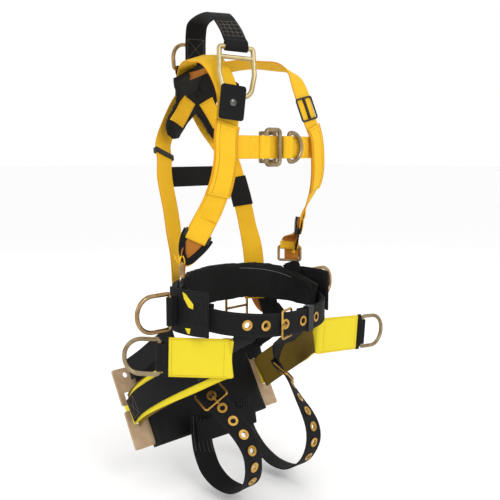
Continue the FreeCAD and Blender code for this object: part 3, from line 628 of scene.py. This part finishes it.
# ---------------------------------------------------------------- chest
right = Route([(-118, -53.5, CHEST_Z, 0, 0.05, 1), (-85, -66, CHEST_Z, 0, 0, 1),
               (-43, CHEST_Y, CHEST_Z, 0, 0, 1)], CHEST_W, steps=8)
strap("chest_webbing_right", right, YELLOW, "chest_strap_right")
LINK_BAR = Vector((-29, CHEST_Y, CHEST_Z))
web_loop("chest_fold_right", LINK_BAR, Vector((1, 0, 0)), UP, 4.4, CHEST_W, 20, YELLOW)
PLATE_X, PLATE_Y = -11, CHEST_Y + 14
left_rows = [(118, -53.5, 0.05), (85, -63, 0), (45, -66, 0), (28, -64, 0), (PLATE_X + 24, PLATE_Y - 3.8, 0),
             (PLATE_X, PLATE_Y - 3.8, 0), (PLATE_X - 3.5, PLATE_Y - 3.2, 0), (PLATE_X - 5.2, PLATE_Y, 0),
             (PLATE_X - 3.5, PLATE_Y + 3.2, 0), (PLATE_X, PLATE_Y + 3.8, 0), (PLATE_X + 7, PLATE_Y + 3.8, 0)]
left = Route([(x, y, CHEST_Z, 0, a, -1) for x, y, a in left_rows], CHEST_W, steps=5)
strap("chest_webbing_left", left, YELLOW, "chest_strap_left", ripple=0.0)
CHEST_D_BAR = Vector((31, -72.4, CHEST_Z))
web_loop("chest_ring_fold", CHEST_D_BAR, Vector((1, -0.35, 0)), UP, 4.2, CHEST_W, 14, YELLOW)
sewn = Thread()
for route, s0, s1 in ((right, right.run[-1] - 30, right.run[-1] - 4), (left, 28, 52)):
    for side in (1, -1):
        sewn.box(route, s0, s1, -0.84, 0.84, side=side)
sewn.done("chest_stitching", THREAD_GOLD, "yellow_webbing")


# ---------------------------------------------------------------- waist
def belt_row(angle, grow=0.0, height=None):
    """Row of the waist ellipse; 0 is the left hip, 90 the back, 180 the right hip, 270 the front."""
    c, s = math.cos(math.radians(angle)), math.sin(math.radians(angle))
    x = (BELT_A + grow) * math.copysign(abs(c) ** BELT_POWER, c)
    y = (BELT_B + grow) * math.copysign(abs(s) ** BELT_POWER, s)
    row = [x, y, BELT_Z + BELT_TILT * y + BELT_LEAN * x, 0, 0.0, 1]
    return row + [height] if height else row


def belt_grow(angle):
    if angle < -60:
        return -3.8 * (-60 - angle) / 22
    if angle > 235:
        return 3.6 * min(1.0, (angle - 235) / 18)
    return 0.0


def wrap_route(start, end, step, grow, thick, edges, steps=3):
    rows = []
    count = round(abs(end - start) / step)
    for k in range(count + 1):
        row = belt_row(start + (end - start) * k / count, grow)
        top, bottom = edges(row[1])
        rows.append([row[0], row[1], (top + bottom) / 2, 0, 0, 1, top - bottom])
    return Route(rows, WEB, thick, steps=steps)


belt_rows = [belt_row(-86 + 412 * k / 103, belt_grow(-86 + 412 * k / 103)) for k in range(104)]
belt = Route(belt_rows, WEB, steps=3)
belt_piece = strap("belt_webbing", belt, BLACK, "waist_belt", ripple=0.0)
holes = []
for angle in GROMMET_ANGLES:
    grow = belt_grow(angle)
    here = frames([belt_row(angle - 1, grow), belt_row(angle, grow), belt_row(angle + 1, grow)])[1]
    holes.append((here[0], here[3]))
cut_holes(belt_piece, holes, 6.7)
sewn = Thread()
for t in (-0.86, 0.86):
    sewn.line(belt, 6, t, belt.run[-1] - 6, t, side=1)
    sewn.line(belt, 6, t, belt.run[-1] - 6, t, side=-1)
sewn.done("belt_stitching", THREAD_BLACK, "black_webbing")

# ---------------------------------------------------------------- hips
HIP_BAR = Vector((-199, 13, -6))
HIP_TAB_SWEEP = {"right": (167, 204), "left": (-24, 13)}
HIP_WINDOW_HIGH = [(-185.2, -8, 32), (-184.5, -15, 30), (-181.9, -35, 12), (-182.2, -34, 3), (-184.0, -24, 5),
                   (-185.0, -12, 20)]
HIP_WINDOW_LOW = [(-185.0, -14, -35), (-183.4, -27.5, -34), (-183.6, -25, -45), (-184.4, -20, -44)]


def badge(name, outline, direction, material, thick=1.2):
    """Thin flat piece from an outline in millimetres, raised along a direction."""
    bm = bmesh.new()
    low = [bm.verts.new(Vector(point) * MM) for point in outline]
    high = [bm.verts.new((Vector(point) + Vector(direction) * thick) * MM) for point in outline]
    bm.faces.new(low)
    bm.faces.new(list(reversed(high)))
    for k in range(len(low)):
        m = (k + 1) % len(low)
        bm.faces.new((low[m], low[k], high[k], high[m]))
    bmesh.ops.bevel(bm, geom=bm.edges[:], offset=0.0003, segments=2, affect="EDGES")
    bmesh.ops.recalc_face_normals(bm, faces=bm.faces)
    mesh = bpy.data.meshes.new(name)
    bm.to_mesh(mesh)
    bm.free()
    mesh.uv_layers.new(name="weave")
    for loop in mesh.loops:
        point = mesh.vertices[loop.vertex_index].co
        mesh.uv_layers[0].data[loop.index].uv = ((point.y % 0.01), point.z)
    return finish_piece(name, mesh, material, ROOT, smooth_shade=False)


for node, side in SIDES:
    out = flip((-1, 0.06, 0), side)
    bar = flip(HIP_BAR, side)
    tab = wrap_route(*HIP_TAB_SWEEP[node], 7, 17, 5, lambda y: (36, -49), steps=5)
    strap("hip_tab_webbing_" + node, tab, BLACK, "hip_tab_" + node, ripple=0.0)
    web_loop("hip_fold_" + node, bar, out, UP, 4.2, 54, 18, BLACK)
    sewn = Thread()
    for face in (1, -1):
        sewn.box(tab, 5, tab.run[-1] - 5, -0.88, 0.88, side=face, cross=False)
        sewn.box(tab, 12, 34, -0.55, 0.55, side=face)
        sewn.box(tab, tab.run[-1] - 34, tab.run[-1] - 12, -0.55, 0.55, side=face)
    sewn.done("hip_stitching_" + node, THREAD_BLACK, "black_webbing")
    for number, outline in enumerate((HIP_WINDOW_HIGH, HIP_WINDOW_LOW)):
        badge("hip_window_%s_%d" % (node, number + 1), [flip(point, side) for point in outline],
              flip((-1, -0.12, 0), side), YELLOW_WIDE)

# ---------------------------------------------------------------- torso adjusters
ADJUST_AT = Vector((-152, 36, 82))
ADJUST_ACROSS = Vector((0.55, 0.80, 0.0))
ADJUSTER_ROUTE = [
    (-138.4, -2.6, 140.2, 0.66, -0.53, -0.48, 38),
    (-140.8, 6.8, 125, 0.66, -0.50, -0.47, 34),
    (-145.0, 14, 116, 0.80, -0.10, -0.35, 28),
    (-147.5, 22, 110, 0.82, 0.35, -0.22, 27),
    (-150.5, 30, 102, 0.68, 0.68, -0.08, 32),
    (-152, 36, 91.5, 0.55, 0.80, 0.00, 37),
]
ADJUST_LEAN = Vector((0.80, -0.55, 0.0))      # the way the webs under the adjuster lean
# Places below the adjuster's bar: mm along its lean, mm down, width.
ADJUSTER_COVER = ((4.5, 3, 33), (5.5, -8, 33), (5.0, -22, 32), (3.5, -30, 30))
ADJUSTER_TAB = ((3.5, -34, 30), (6.5, -42, 34), (9.0, -56, 34), (10.0, -70, 30))
# The front web's doubled end: mm along the web, mm off it.
FRONT_FOLD = ((46, 2.4), (36, 2.9), (26, 4.6), (18, 5.9), (8, 5.9), (1, 4.8), (-3, 2.6))
# Round its lower end: mm along the web and off it with a width, or mm across, along and off it.
FRONT_UNDER = ((12, -2.4, 34), (-4, -1.2, 33), (-18, -0.6, 29), (-34, -1.0, 20), (-42, -1.6, 12))
FRONT_CRADLE = ((-23, 12, -1), (-23, -4, 0), (-18, -24, 1), (-9, -40, 1.6), (0, -47, 2), (8, -41, 1.6),
                (15, -26, 1), (22, -6, 0), (25, 10, -1))
FRONT_LOOP = ((16, -40, -2), (8, -53, -1), (-4, -58, -1), (-16, -54, -2), (-24, -46, -4))


def sign(value):
    return (value > 0) - (value < 0)


# The adjuster webs, their cover and the web under the front strap's end take the yellow webbing in painted
# shade.
for node, side in SIDES:
    adjuster = flip(ADJUST_AT, side)
    turned = flip(ADJUST_ACROSS, side)
    strap("adjuster_webbing_" + node, Route(mirror_rows(ADJUSTER_ROUTE, side), 37, steps=6), YELLOW_IN_SHADE,
          "adjuster_web_" + node, ripple=0.0)
    web_loop("adjuster_fold_" + node, adjuster, Vector((0, 0, -1)), turned, 3.0, 40, 12, YELLOW)
    for name, spots, thick, material, slot in (
            ("adjuster_cover_", ADJUSTER_COVER, 2.2, YELLOW_IN_SHADE, "yellow_webbing"),
            ("adjuster_tab_", ADJUSTER_TAB, 3.4, BLACK, "black_webbing")):
        rows = [[*(adjuster + ADJUST_LEAN * push + UP * drop), *turned, width] for push, drop, width in spots]
        strap(name + node, Route(rows, WEB, thick=thick, steps=4), material, ripple=0.0)
    lower = TORSO[node]
    rows = []
    for s, lift in FRONT_FOLD:
        centre, outward = lower.at(max(s, 0), 0, 1)
        _, across, along, _ = lower.places[0] if s < 8 else lower.places[4]
        rows.append([*(centre + outward * (lift - WEB_T / 2) + along * min(s, 0)), *across])
    fold = Route(rows, 40, thick=2.2, steps=4)
    strap("front_fold_" + node, fold, YELLOW, ripple=0.0)
    sewn = Thread()
    sewn.line(fold, 5, -0.9, 5, 0.9)
    sewn.line(fold, 9, -0.9, 9, 0.9)
    sewn.done("front_fold_stitching_" + node, THREAD_GOLD, "yellow_webbing")
    centre, across, along, outward = lower.places[0]

    def below(u, v, lift):
        return centre + across * u + along * v + outward * lift

    rows = [[*below(0, v, lift), *across, width] for v, lift, width in FRONT_UNDER]
    strap("front_under_" + node, Route(rows, WEB, thick=2.2, steps=4), YELLOW_IN_SHADE, ripple=0.0)
    rows = [[*below(*spot), *(along * 0.8 - across * sign(spot[0]) * 0.6), 13] for spot in FRONT_CRADLE]
    strap("front_cradle_" + node, Route(rows, WEB, thick=3.4, steps=4), BLACK, ripple=0.0)
    rows = [[*below(*spot), *outward, 5] for spot in FRONT_LOOP]
    strap("front_loop_" + node, Route(rows, WEB, thick=2.0, steps=5), YELLOW, ripple=0.0)

# ---------------------------------------------------------------- webs at the hips
HIP_WEB_ROUTE = [(-158, 44, 42, 0.50, 0.80, 0.20), (-168, 40, 22, 0.30, 0.95, 0.20),
                 (-172.5, 30, -5, 0.06, 1.00, 0.20), (-172.5, 22, -40, 0.00, 1.00, 0.25)]
for node, side in SIDES:
    route = Route(mirror_rows(HIP_WEB_ROUTE, side), 30, steps=6)
    strap("hip_webbing_" + node, route, BLACK, ripple=0.0)
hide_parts("hip_webs")

# ---------------------------------------------------------------- saddle straps
HANGER_ROUTE = [(-158, 56, -66, 0.20, 0.60, 0.75), (-172, 92, -95, 0.20, 0.62, 0.75),
                (-180, 132, -128, 0.15, 0.60, 0.78), (-184, 172, -156, 0.10, 0.50, 0.85)]
HANGER_FOLD = [(-184, 184, -178, 0.60, 0.20, 0.30), (-184, 172, -205, 1.00, 0.00, 0.00)]
for node, side in SIDES:
    bend = flip(SADDLE_BEND, side)
    out = SADDLE_OUT[node]

    def outer_row(distance, height):
        """Row of the outer run at mm from the fold."""
        return [*(bend + out * distance - Vector((0, SADDLE_FOLD_R, 0))), 0, 0, side, height]

    inner_rows = mirror_rows(SADDLE_ROUTE, side)
    rows = inner_rows + [outer_row(d, SADDLE_H) for d in (6, 30, 70, SADDLE_REACH - 16, SADDLE_REACH - 9)]
    route = Route(rows, SADDLE_H, thick=3.0, steps=8)
    strap("saddle_webbing_" + node, route, YELLOW_WIDE, "saddle_strap_" + node)
    rows = [outer_row(SADDLE_REACH - back_off, SADDLE_H + 2) for back_off in (17, 12, 7)]
    strap("saddle_binding_" + node, Route(rows, WEB, thick=5.0, steps=4), BLACK, ripple=0.0)
    inner = Route([row[:6] for row in inner_rows[1:6]], 48, lift=-4.2, steps=8)
    strap("saddle_web_" + node, inner, BLACK, ripple=0.0)
    # Darker sheet on the inner run: partly the strap's darker inner face, partly painted shade.
    shade_sheet = Route([row[:6] for row in inner_rows[1:]], SADDLE_H - 3, thick=1.0, lift=2.2, steps=8)
    strap("saddle_shade_lining_" + node, shade_sheet, SADDLE_SHADE, ripple=0.0)
    bar = Vector(outer_row(SADDLE_REACH, SADDLE_H)[:3])
    web_loop("seat_fold_" + node, bar, out, UP, 4.2, 54, 15, BLACK)
    sewn = Thread()
    for face in (1, -1):
        sewn.box(inner, 8, 40, -0.8, 0.8, side=face)
        sewn.box(inner, inner.run[-1] - 40, inner.run[-1] - 8, -0.8, 0.8, side=face)
    sewn.done("saddle_web_stitching_" + node, THREAD_TAN, "black_webbing")
    sewn = Thread()
    end = route.run[-1]
    for face in (1, -1):
        for t in (-0.9, 0.9):
            sewn.line(route, end - 118, t, end - 6, t, side=face)
        sewn.line(route, end - 112, -0.9, end - 112, 0.9, side=face)
        sewn.line(route, end - 14, -0.9, end - 14, 0.9, side=face)
    sewn.done("saddle_stitching_" + node, THREAD_GOLD, "yellow_webbing")
    rows = mirror_rows(HANGER_ROUTE + (HANGER_FOLD if node == "left" else []), side)
    strap("hanger_webbing_" + node, Route(rows, WEB, steps=6), BLACK, "seat_hanger_" + node)
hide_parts("saddle_webs")
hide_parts("seat_ring_loops")
REAR_TAIL = [(122, 122, -18, 1, 0, 0, 26), (130, 119, -40, 1, 0, 0, 26), (139, 116, -58, 1, 0, 0, 24),
             (146, 113, -74, 1, 0, 0, 10)]
REAR_WEB = [(134, 92, -24, 0.8, -0.6, 0), (150, 96, -58, 0.8, -0.6, 0), (168, 98, -98, 0.8, -0.6, 0)]
# The rear tail is yellow webbing in painted shade, where it shows under the lumbar pad.
strap("rear_tail", Route(REAR_TAIL, WEB, steps=5), YELLOW_IN_SHADE, ripple=0.0)
strap("rear_web", Route(REAR_WEB, 40, steps=6), BLACK, ripple=0.0)
UNDER_X, UNDER_Z = 84, -291
rows = [(x, y, UNDER_Z, 0, 0.15, 1) for x, y in ((-UNDER_X, 74), (0, 69), (UNDER_X, 74))]
under = Route(rows, WEB, steps=10)
strap("sub_pelvic_webbing", under, BLACK, "sub_pelvic_web")

# ---------------------------------------------------------------- leg straps
LEG_PIERCE = 22.0
LEG_LIFT = 7.4
RISER_ROUTE = {
    "right": [(-114, 33, -155, 0.72, -0.55, 0.40), (-109, 6, -126, 0.74, -0.50, 0.40),
              (-105, -42, -92, 0.80, -0.45, 0.30), (-103, -82, -62, 0.87, -0.46, 0.10),
              (-103, -90, -42, 0.89, -0.46, 0.00)],
    "left": [(114, 33, -155, 0.72, 0.55, -0.40), (94, 4, -124, 0.76, 0.48, -0.35),
             (62, -42, -96, 0.85, 0.35, -0.30), (33, -88, -68, 0.97, 0.10, -0.15),
             (30, -103, -46, 1.00, 0.05, 0.00)],
}
for node, side in SIDES:
    rows = mirror_rows(LEG_ROUTE, side)
    places = frames(rows)
    route = Route(rows, WEB, steps=8)
    leg = strap("leg_webbing_" + node, route, BLACK, "leg_strap_" + node)
    cut_holes(leg, [(places[i][0], places[i][3]) for i in LEG_GROMMET_ROWS], 6.7)
    sewn = Thread()
    for t in (-0.86, 0.86):
        sewn.line(route, 60, t, route.run[-1] - 6, t, side=1)
    sewn.done("leg_stitching_" + node, THREAD_BLACK, "black_webbing")
    tack = Thread()
    for face in (1, -1):
        for k, t in enumerate((-0.75, -0.35, 0.05, 0.45, 0.8)):
            tack.line(route, 6 + 3 * k, t, 78 + 3 * k, t, side=face)
    tack.done("leg_tack_" + node, GREY_CORD_AND_HIGHLIGHT, "black_webbing")
    centre, across, along, outward = places[LEG_GROMMET_ROWS[-1]]
    down = (Vector(rows[13][:3]) - Vector(rows[14][:3])).normalized()
    hinge = centre - down * LEG_PIERCE - outward * LEG_LIFT
    start = hinge - down * 9
    riser = [(*start, *across, 41)]
    riser += [row + (width,) for row, width in zip(RISER_ROUTE[node], (42, WEB, WEB, WEB, WEB))]
    strap("riser_webbing_" + node, Route(riser, WEB, steps=8), BLACK, "leg_riser_" + node)
    web_loop("riser_fold_" + node, hinge, down, across, 2.3, 44, 12, BLACK)


# ---------------------------------------------------------------- pads
YOKE_FRONT = 127.0       # the back cushion ends here, where the pad thins out under the webs


def inflate(obj, voxel, pressure, cap, shrink, steps=20):
    """Swell a closed mesh as cloth round its foam, and keep every point within a few millimetres."""
    bpy.context.view_layer.objects.active = obj
    mod = obj.modifiers.new("remesh", "REMESH")
    mod.mode = "VOXEL"
    mod.voxel_size = voxel * MM
    bake(obj)
    mesh = obj.data
    normals = [v.normal.copy() for v in mesh.vertices]
    for v, n in zip(mesh.vertices, normals):
        v.co -= n * shrink * MM
    start = [v.co.copy() for v in mesh.vertices]
    cloth = obj.modifiers.new("cloth", "CLOTH")
    cloth.settings.use_pressure = True
    cloth.settings.uniform_pressure_force = pressure
    cloth.settings.effector_weights.gravity = 0
    cloth.settings.quality = 4
    cloth.point_cache.frame_start = 1
    cloth.point_cache.frame_end = steps
    for frame_number in range(1, steps + 1):
        bpy.context.scene.frame_set(frame_number)
    bake(obj)
    bpy.context.scene.frame_set(1)
    limit = cap * MM
    for v, rest in zip(obj.data.vertices, start):
        move = v.co - rest
        if move.length > limit:
            v.co = rest + move * (limit / move.length)
    mod = obj.modifiers.new("round", "SUBSURF")
    mod.levels = 1
    mod.render_levels = 1
    bake(obj)


def keep_largest(mesh):
    """Drop every loose scrap of a mesh but its largest piece."""
    bm = bmesh.new()
    bm.from_mesh(mesh)
    left = set(bm.verts)
    groups = []
    while left:
        stack = [left.pop()]
        group = set(stack)
        while stack:
            for edge in stack.pop().link_edges:
                for v in edge.verts:
                    if v in left:
                        left.discard(v)
                        group.add(v)
                        stack.append(v)
        groups.append(group)
    groups.sort(key=len)
    scraps = [v for group in groups[:-1] for v in group]
    bmesh.ops.delete(bm, geom=scraps, context="VERTS")
    bm.to_mesh(mesh)
    bm.free()


def trim(mesh, place, normal):
    """Cut off what lies behind a plane and close the cut."""
    bm = bmesh.new()
    bm.from_mesh(mesh)
    bmesh.ops.remove_doubles(bm, verts=bm.verts[:], dist=0.00001)
    found = bmesh.ops.bisect_plane(bm, geom=bm.verts[:] + bm.edges[:] + bm.faces[:], plane_co=place * MM,
                                   plane_no=normal, clear_inner=True)
    edges = [item for item in found["geom_cut"] if isinstance(item, bmesh.types.BMEdge)]
    bmesh.ops.holes_fill(bm, edges=edges, sides=0)
    bmesh.ops.recalc_face_normals(bm, faces=bm.faces[:])
    bm.to_mesh(mesh)
    bm.free()


def pad_piece(name, node, voxel=5.0, pressure=4.0, cap=3.5, shrink=1.4, front=None):
    obj = bpy.data.objects.new(name, NODES[node].data.copy())
    bpy.context.scene.collection.objects.link(obj)
    if front is not None:
        trim(obj.data, Vector((0, front, 0)), Vector((0, 1, 0)))
    inflate(obj, voxel, pressure, cap, shrink)
    keep_largest(obj.data)
    obj.data.materials.clear()
    obj.data.materials.append(PAD)
    for face in obj.data.polygons:
        face.use_smooth = True
    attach(obj, ROOT)
    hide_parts(node)
    return obj


yoke = pad_piece("dorsal_cushion", "dorsal_pad", voxel=3.0, shrink=0.4, front=YOKE_FRONT)
lumbar = pad_piece("lumbar_cushion", "lumbar_pad", voxel=5.0)
pad_piece("seat_envelope", "seat_cover", voxel=4.0, cap=2.5, shrink=1.0)


def surface(obj):
    """Search tree of a piece's faces, to lay other pieces on it."""
    bm = bmesh.new()
    bm.from_mesh(obj.data)
    tree = BVHTree.FromBMesh(bm)
    bm.free()
    return tree


YOKE_SURFACE = surface(yoke)
LUMBAR_SURFACE = surface(lumbar)


def on_yoke(x, z, proud):
    """Point on the wearer's side of the back pad at x and z in millimetres, and the way out of it."""
    start = Vector((x * MM, 0.09, z * MM))
    spot, normal, _, _ = YOKE_SURFACE.ray_cast(start, Vector((0, 1, 0)))
    if spot is None:
        spot, normal, _, _ = YOKE_SURFACE.find_nearest(Vector((x * MM, 0.15, z * MM)))
    return spot / MM + normal * proud, normal


def inset(name, corners, material, side, cells=10):
    """Web seen through a window of the back pad, draped on it, from four x, z corners."""
    grid = []
    for i in range(cells + 1):
        for k in range(cells + 1):
            u, v = i / cells, k / cells
            shares = ((1 - u) * (1 - v), u * (1 - v), u * v, (1 - u) * v)
            x, z = (sum(c[axis] * share for c, share in zip(corners, shares)) for axis in (0, 1))
            grid.append((u, v, x * side, z))
    n = cells + 1
    verts = [on_yoke(x, z, 0.9)[0] * MM for _, _, x, z in grid]
    verts += [on_yoke(x, z, -1.5)[0] * MM for _, _, x, z in grid]
    faces = []
    for i in range(cells):
        for k in range(cells):
            a = n * i + k
            faces.append((a, a + 1, a + n + 1, a + n))
            faces.append((n * n + a, n * n + a + n, n * n + a + n + 1, n * n + a + 1))
    rim = list(range(cells)) + [n * k + cells for k in range(cells)]
    rim += [n * cells + cells - k for k in range(cells)] + [n * (cells - k) for k in range(cells)]
    for a, b in zip(rim, rim[1:] + rim[:1]):
        faces.append((b, a, n * n + a, n * n + b))
    mesh = bpy.data.meshes.new(name)
    mesh.from_pydata(verts, [], faces)
    wide = math.dist(corners[0], corners[1]) * MM
    tall = math.dist(corners[0], corners[3]) * MM
    layer = mesh.uv_layers.new(name="weave")
    for loop in mesh.loops:
        u, v, _, _ = grid[loop.vertex_index % (n * n)]
        layer.data[loop.index].uv = ((u - 0.5) * wide, v * tall)
    face_outwards(mesh)
    return finish_piece(name, mesh, material, ROOT)


def yoke_seam(seam, a, b, side, proud=1.0):
    """Stitches on the back pad between two x, z places."""
    count = max(1, int(math.dist(a, b) / 4.3))
    for k in range(count):
        ends = []
        for f in (k / count, (k + 0.7) / count):
            ends.append(on_yoke((a[0] + (b[0] - a[0]) * f) * side, a[1] + (b[1] - a[1]) * f, proud))
        seam.stitch(ends[0][0], ends[1][0], ends[0][1])


YOKE_WINDOW = [(-38, 405), (-6, 388), (-43, 338), (-77, 354)]
YOKE_MIDDLE = (-41, 371)
SEAM_SHRINK = 0.86
YOKE_PATCH = [(-52, 447), (5, 464), (8, 452), (-42, 434)]
for node, side in SIDES:
    inset("yoke_window_" + node, YOKE_WINDOW, YELLOW, side)
    seam = Thread()
    shrunk = [[c * SEAM_SHRINK + m * (1 - SEAM_SHRINK) for c, m in zip(corner, YOKE_MIDDLE)]
              for corner in YOKE_WINDOW]
    for a, b in zip(shrunk, shrunk[1:] + shrunk[:1]):
        yoke_seam(seam, a, b, side)
    seam.done("yoke_stitching_" + node, THREAD_GOLD, "yellow_webbing")
# The patch is the yellow web seen in painted shade through the back pad's slot.
inset("yoke_patch", YOKE_PATCH, YELLOW_IN_SHADE, 1)

# Grey piping on the lumbar pad's top, laid only on the side where a glint shows: partly piping, partly a
# painted highlight.
HIGHLIGHT_CORD_Z, HIGHLIGHT_CORD_RISE = 6.5, 0.33      # height at the side of the waist, and its rise towards the back
points = []
for angle in range(12, 74, 2):
    x, y = belt_row(angle, -15)[:2]
    spot, normal, _, _ = LUMBAR_SURFACE.find_nearest(Vector((x, y, HIGHLIGHT_CORD_Z + HIGHLIGHT_CORD_RISE * y)) * MM)
    points.append(spot / MM + normal * 0.1)
tube("lumbar_piping_highlight", points, 0.55, GREY_CORD_AND_HIGHLIGHT)

# ---------------------------------------------------------------- lanyard keeper
KEEPER_HALF = (25.0, 22.5)
KEEPER_ROUND = 4.0
KEEPER_SHIFT = -1.5       # across the web
KEEPER_LIFT = 2.9         # off the web's middle
low, high = (Vector(corner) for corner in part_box("lanyard_keeper"))
middle = (low + high) / 2 / MM
centre, across, along, outward = min(TORSO["left"].places, key=lambda place: (place[0] - middle).length)


def keeper_point(u, v):
    return centre + across * (u + KEEPER_SHIFT) + along * v + outward * KEEPER_LIFT


corner = []
for quarter, (u_sign, v_sign) in enumerate(((1, 1), (-1, 1), (-1, -1), (1, -1))):
    for step in range(0, 91, 15):
        turn = math.radians(90 * quarter + step)
        corner.append(keeper_point(u_sign * (KEEPER_HALF[0] - KEEPER_ROUND) + KEEPER_ROUND * math.cos(turn),
                                   v_sign * (KEEPER_HALF[1] - KEEPER_ROUND) + KEEPER_ROUND * math.sin(turn)))
rim = tube("lanyard_frame", corner, 1.9, NYLON, body="lanyard_keeper", closed=True)
tube("lanyard_bar", [keeper_point(0, v) for v in (-22, -11, 0, 11, 22)], 3.0, NYLON,
     body="lanyard_keeper")
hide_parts("lanyard_keeper")

# ---------------------------------------------------------------- metal and moulded pieces
FINISH = {
    "dorsal_ring": BRONZE, "extension_ring": GOLD, "chest_ring": TAN_STEEL, "chest_buckle_outer": TAN_STEEL,
    "chest_buckle_inner": TAN_STEEL, "rear_slides": BRONZE, "seat_board": BOARD, "snap_cap": SNAP,
    "belt_keeper": NYLON, "waist_grommets": BRASS, "waist_buckle_frame": BRASS, "waist_buckle_tongue": BRASS,
    "stowage_flap": BLACK, "dorsal_ring_loop": BLACK,
}
for side_name, _ in SIDES:
    for pattern, material in (
            ("hip_ring_%s", BRONZE), ("seat_ring_%s", TAN_STEEL), ("torso_adjuster_%s", BRONZE),
            ("front_keeper_%s", NYLON), ("rear_keeper_%s", NYLON), ("leg_grommets_%s", BRASS),
            ("leg_buckle_%s_frame", BRASS), ("leg_buckle_%s_tongue", BRASS)):
        FINISH[pattern % side_name] = material
for node, material in FINISH.items():
    NODES[node].data.materials.clear()
    NODES[node].data.materials.append(material)

# ---------------------------------------------------------------- webs that hold the back ring
DORSAL_BAR = Vector((0, 198, 462))
DORSAL_W = 56
ANCHOR_YZ = ((204.2, 388), (204.4, 404), (202.8, 418), (200.2, 432), (198.2, 447))
EXTENSION_ROOT_YZ = ((169, 472), (168.5, 458), (167.5, 446), (168.5, 434), (171, 422))
web_loop("dorsal_fold", DORSAL_BAR, Vector((0, 0.12, 1)), Vector((1, 0, 0)), 4.2, DORSAL_W, 16, BLACK,
         "dorsal_ring_loop")
anchor = Route([(0, y, z, 1, 0, 0) for y, z in ANCHOR_YZ], DORSAL_W, steps=5)
strap("dorsal_anchor", anchor, BLACK)
sewn = Thread()
for face in (1, -1):
    sewn.box(anchor, 4, 40, -0.82, 0.82, side=face)
sewn.done("dorsal_anchor_stitching", THREAD_BLACK, "black_webbing")
root = Route([(0, y, z, 1, 0, 0) for y, z in EXTENSION_ROOT_YZ], 44, steps=5)
strap("extension_root", root, BLACK)

# ---------------------------------------------------------------- stage, light, camera
FLOOR_Z = CAD_BOX[0][2] - 0.02
FLOOR_HALF = 30
mesh = bpy.data.meshes.new("floor")
corners = [(x * FLOOR_HALF, y * FLOOR_HALF, FLOOR_Z) for x, y in ((-1, -1), (1, -1), (1, 1), (-1, 1))]
mesh.from_pydata(corners, [], [(0, 1, 2, 3)])
floor = bpy.data.objects.new("floor", mesh)
bpy.context.scene.collection.objects.link(floor)
paper, shader = new_material("paper", (0.9, 0.9, 0.9), 0.95)
speck = add(paper, "TexNoise", Scale=3.0)
tone = blend_colour(paper, ramp(paper, speck.outputs[0], 0.2, 0.8), (0.96, 0.96, 0.96), (0.98, 0.98, 0.98))
wire(paper, tone, shader.inputs["Base Color"])
mesh.materials.append(paper)

world = bpy.data.worlds.new("studio")
bpy.context.scene.world = world
world.use_nodes = True
world.node_tree.nodes["Background"].inputs[0].default_value = (1.0, 1.0, 1.0, 1)
world.node_tree.nodes["Background"].inputs[1].default_value = 1.0


def softbox(name, place, target, size, power):
    light = bpy.data.lights.new(name, "AREA")
    light.shape = "DISK"
    light.size = size
    light.energy = power
    obj = bpy.data.objects.new(name, light)
    bpy.context.scene.collection.objects.link(obj)
    obj.location = place
    obj.rotation_euler = (Vector(target) - Vector(place)).to_track_quat("-Z", "Y").to_euler()


softbox("key", (-0.6, -2.6, 1.9), (0, 0, 0.1), 1.2, 26)
softbox("fill", (-2.6, 0.2, 1.0), (0, 0, 0.1), 1.6, 8)
softbox("rim", (1.6, 1.9, 1.8), (0, 0, 0.2), 1.2, 12)
bpy.context.scene.view_settings.view_transform = "Standard"

cam = bpy.data.cameras.new("camera")
camera = bpy.data.objects.new("camera", cam)
bpy.context.scene.collection.objects.link(camera)
bpy.context.scene.camera = camera
camera.location = (-1.0127, -1.0378, 0.2894)
camera.rotation_euler = (math.radians(82.24), 0, math.radians(-44.3))
cam.sensor_width = 36.0
cam.lens = 52.17
cam.shift_x = -0.003
cam.clip_start = 0.01
cam.clip_end = 200
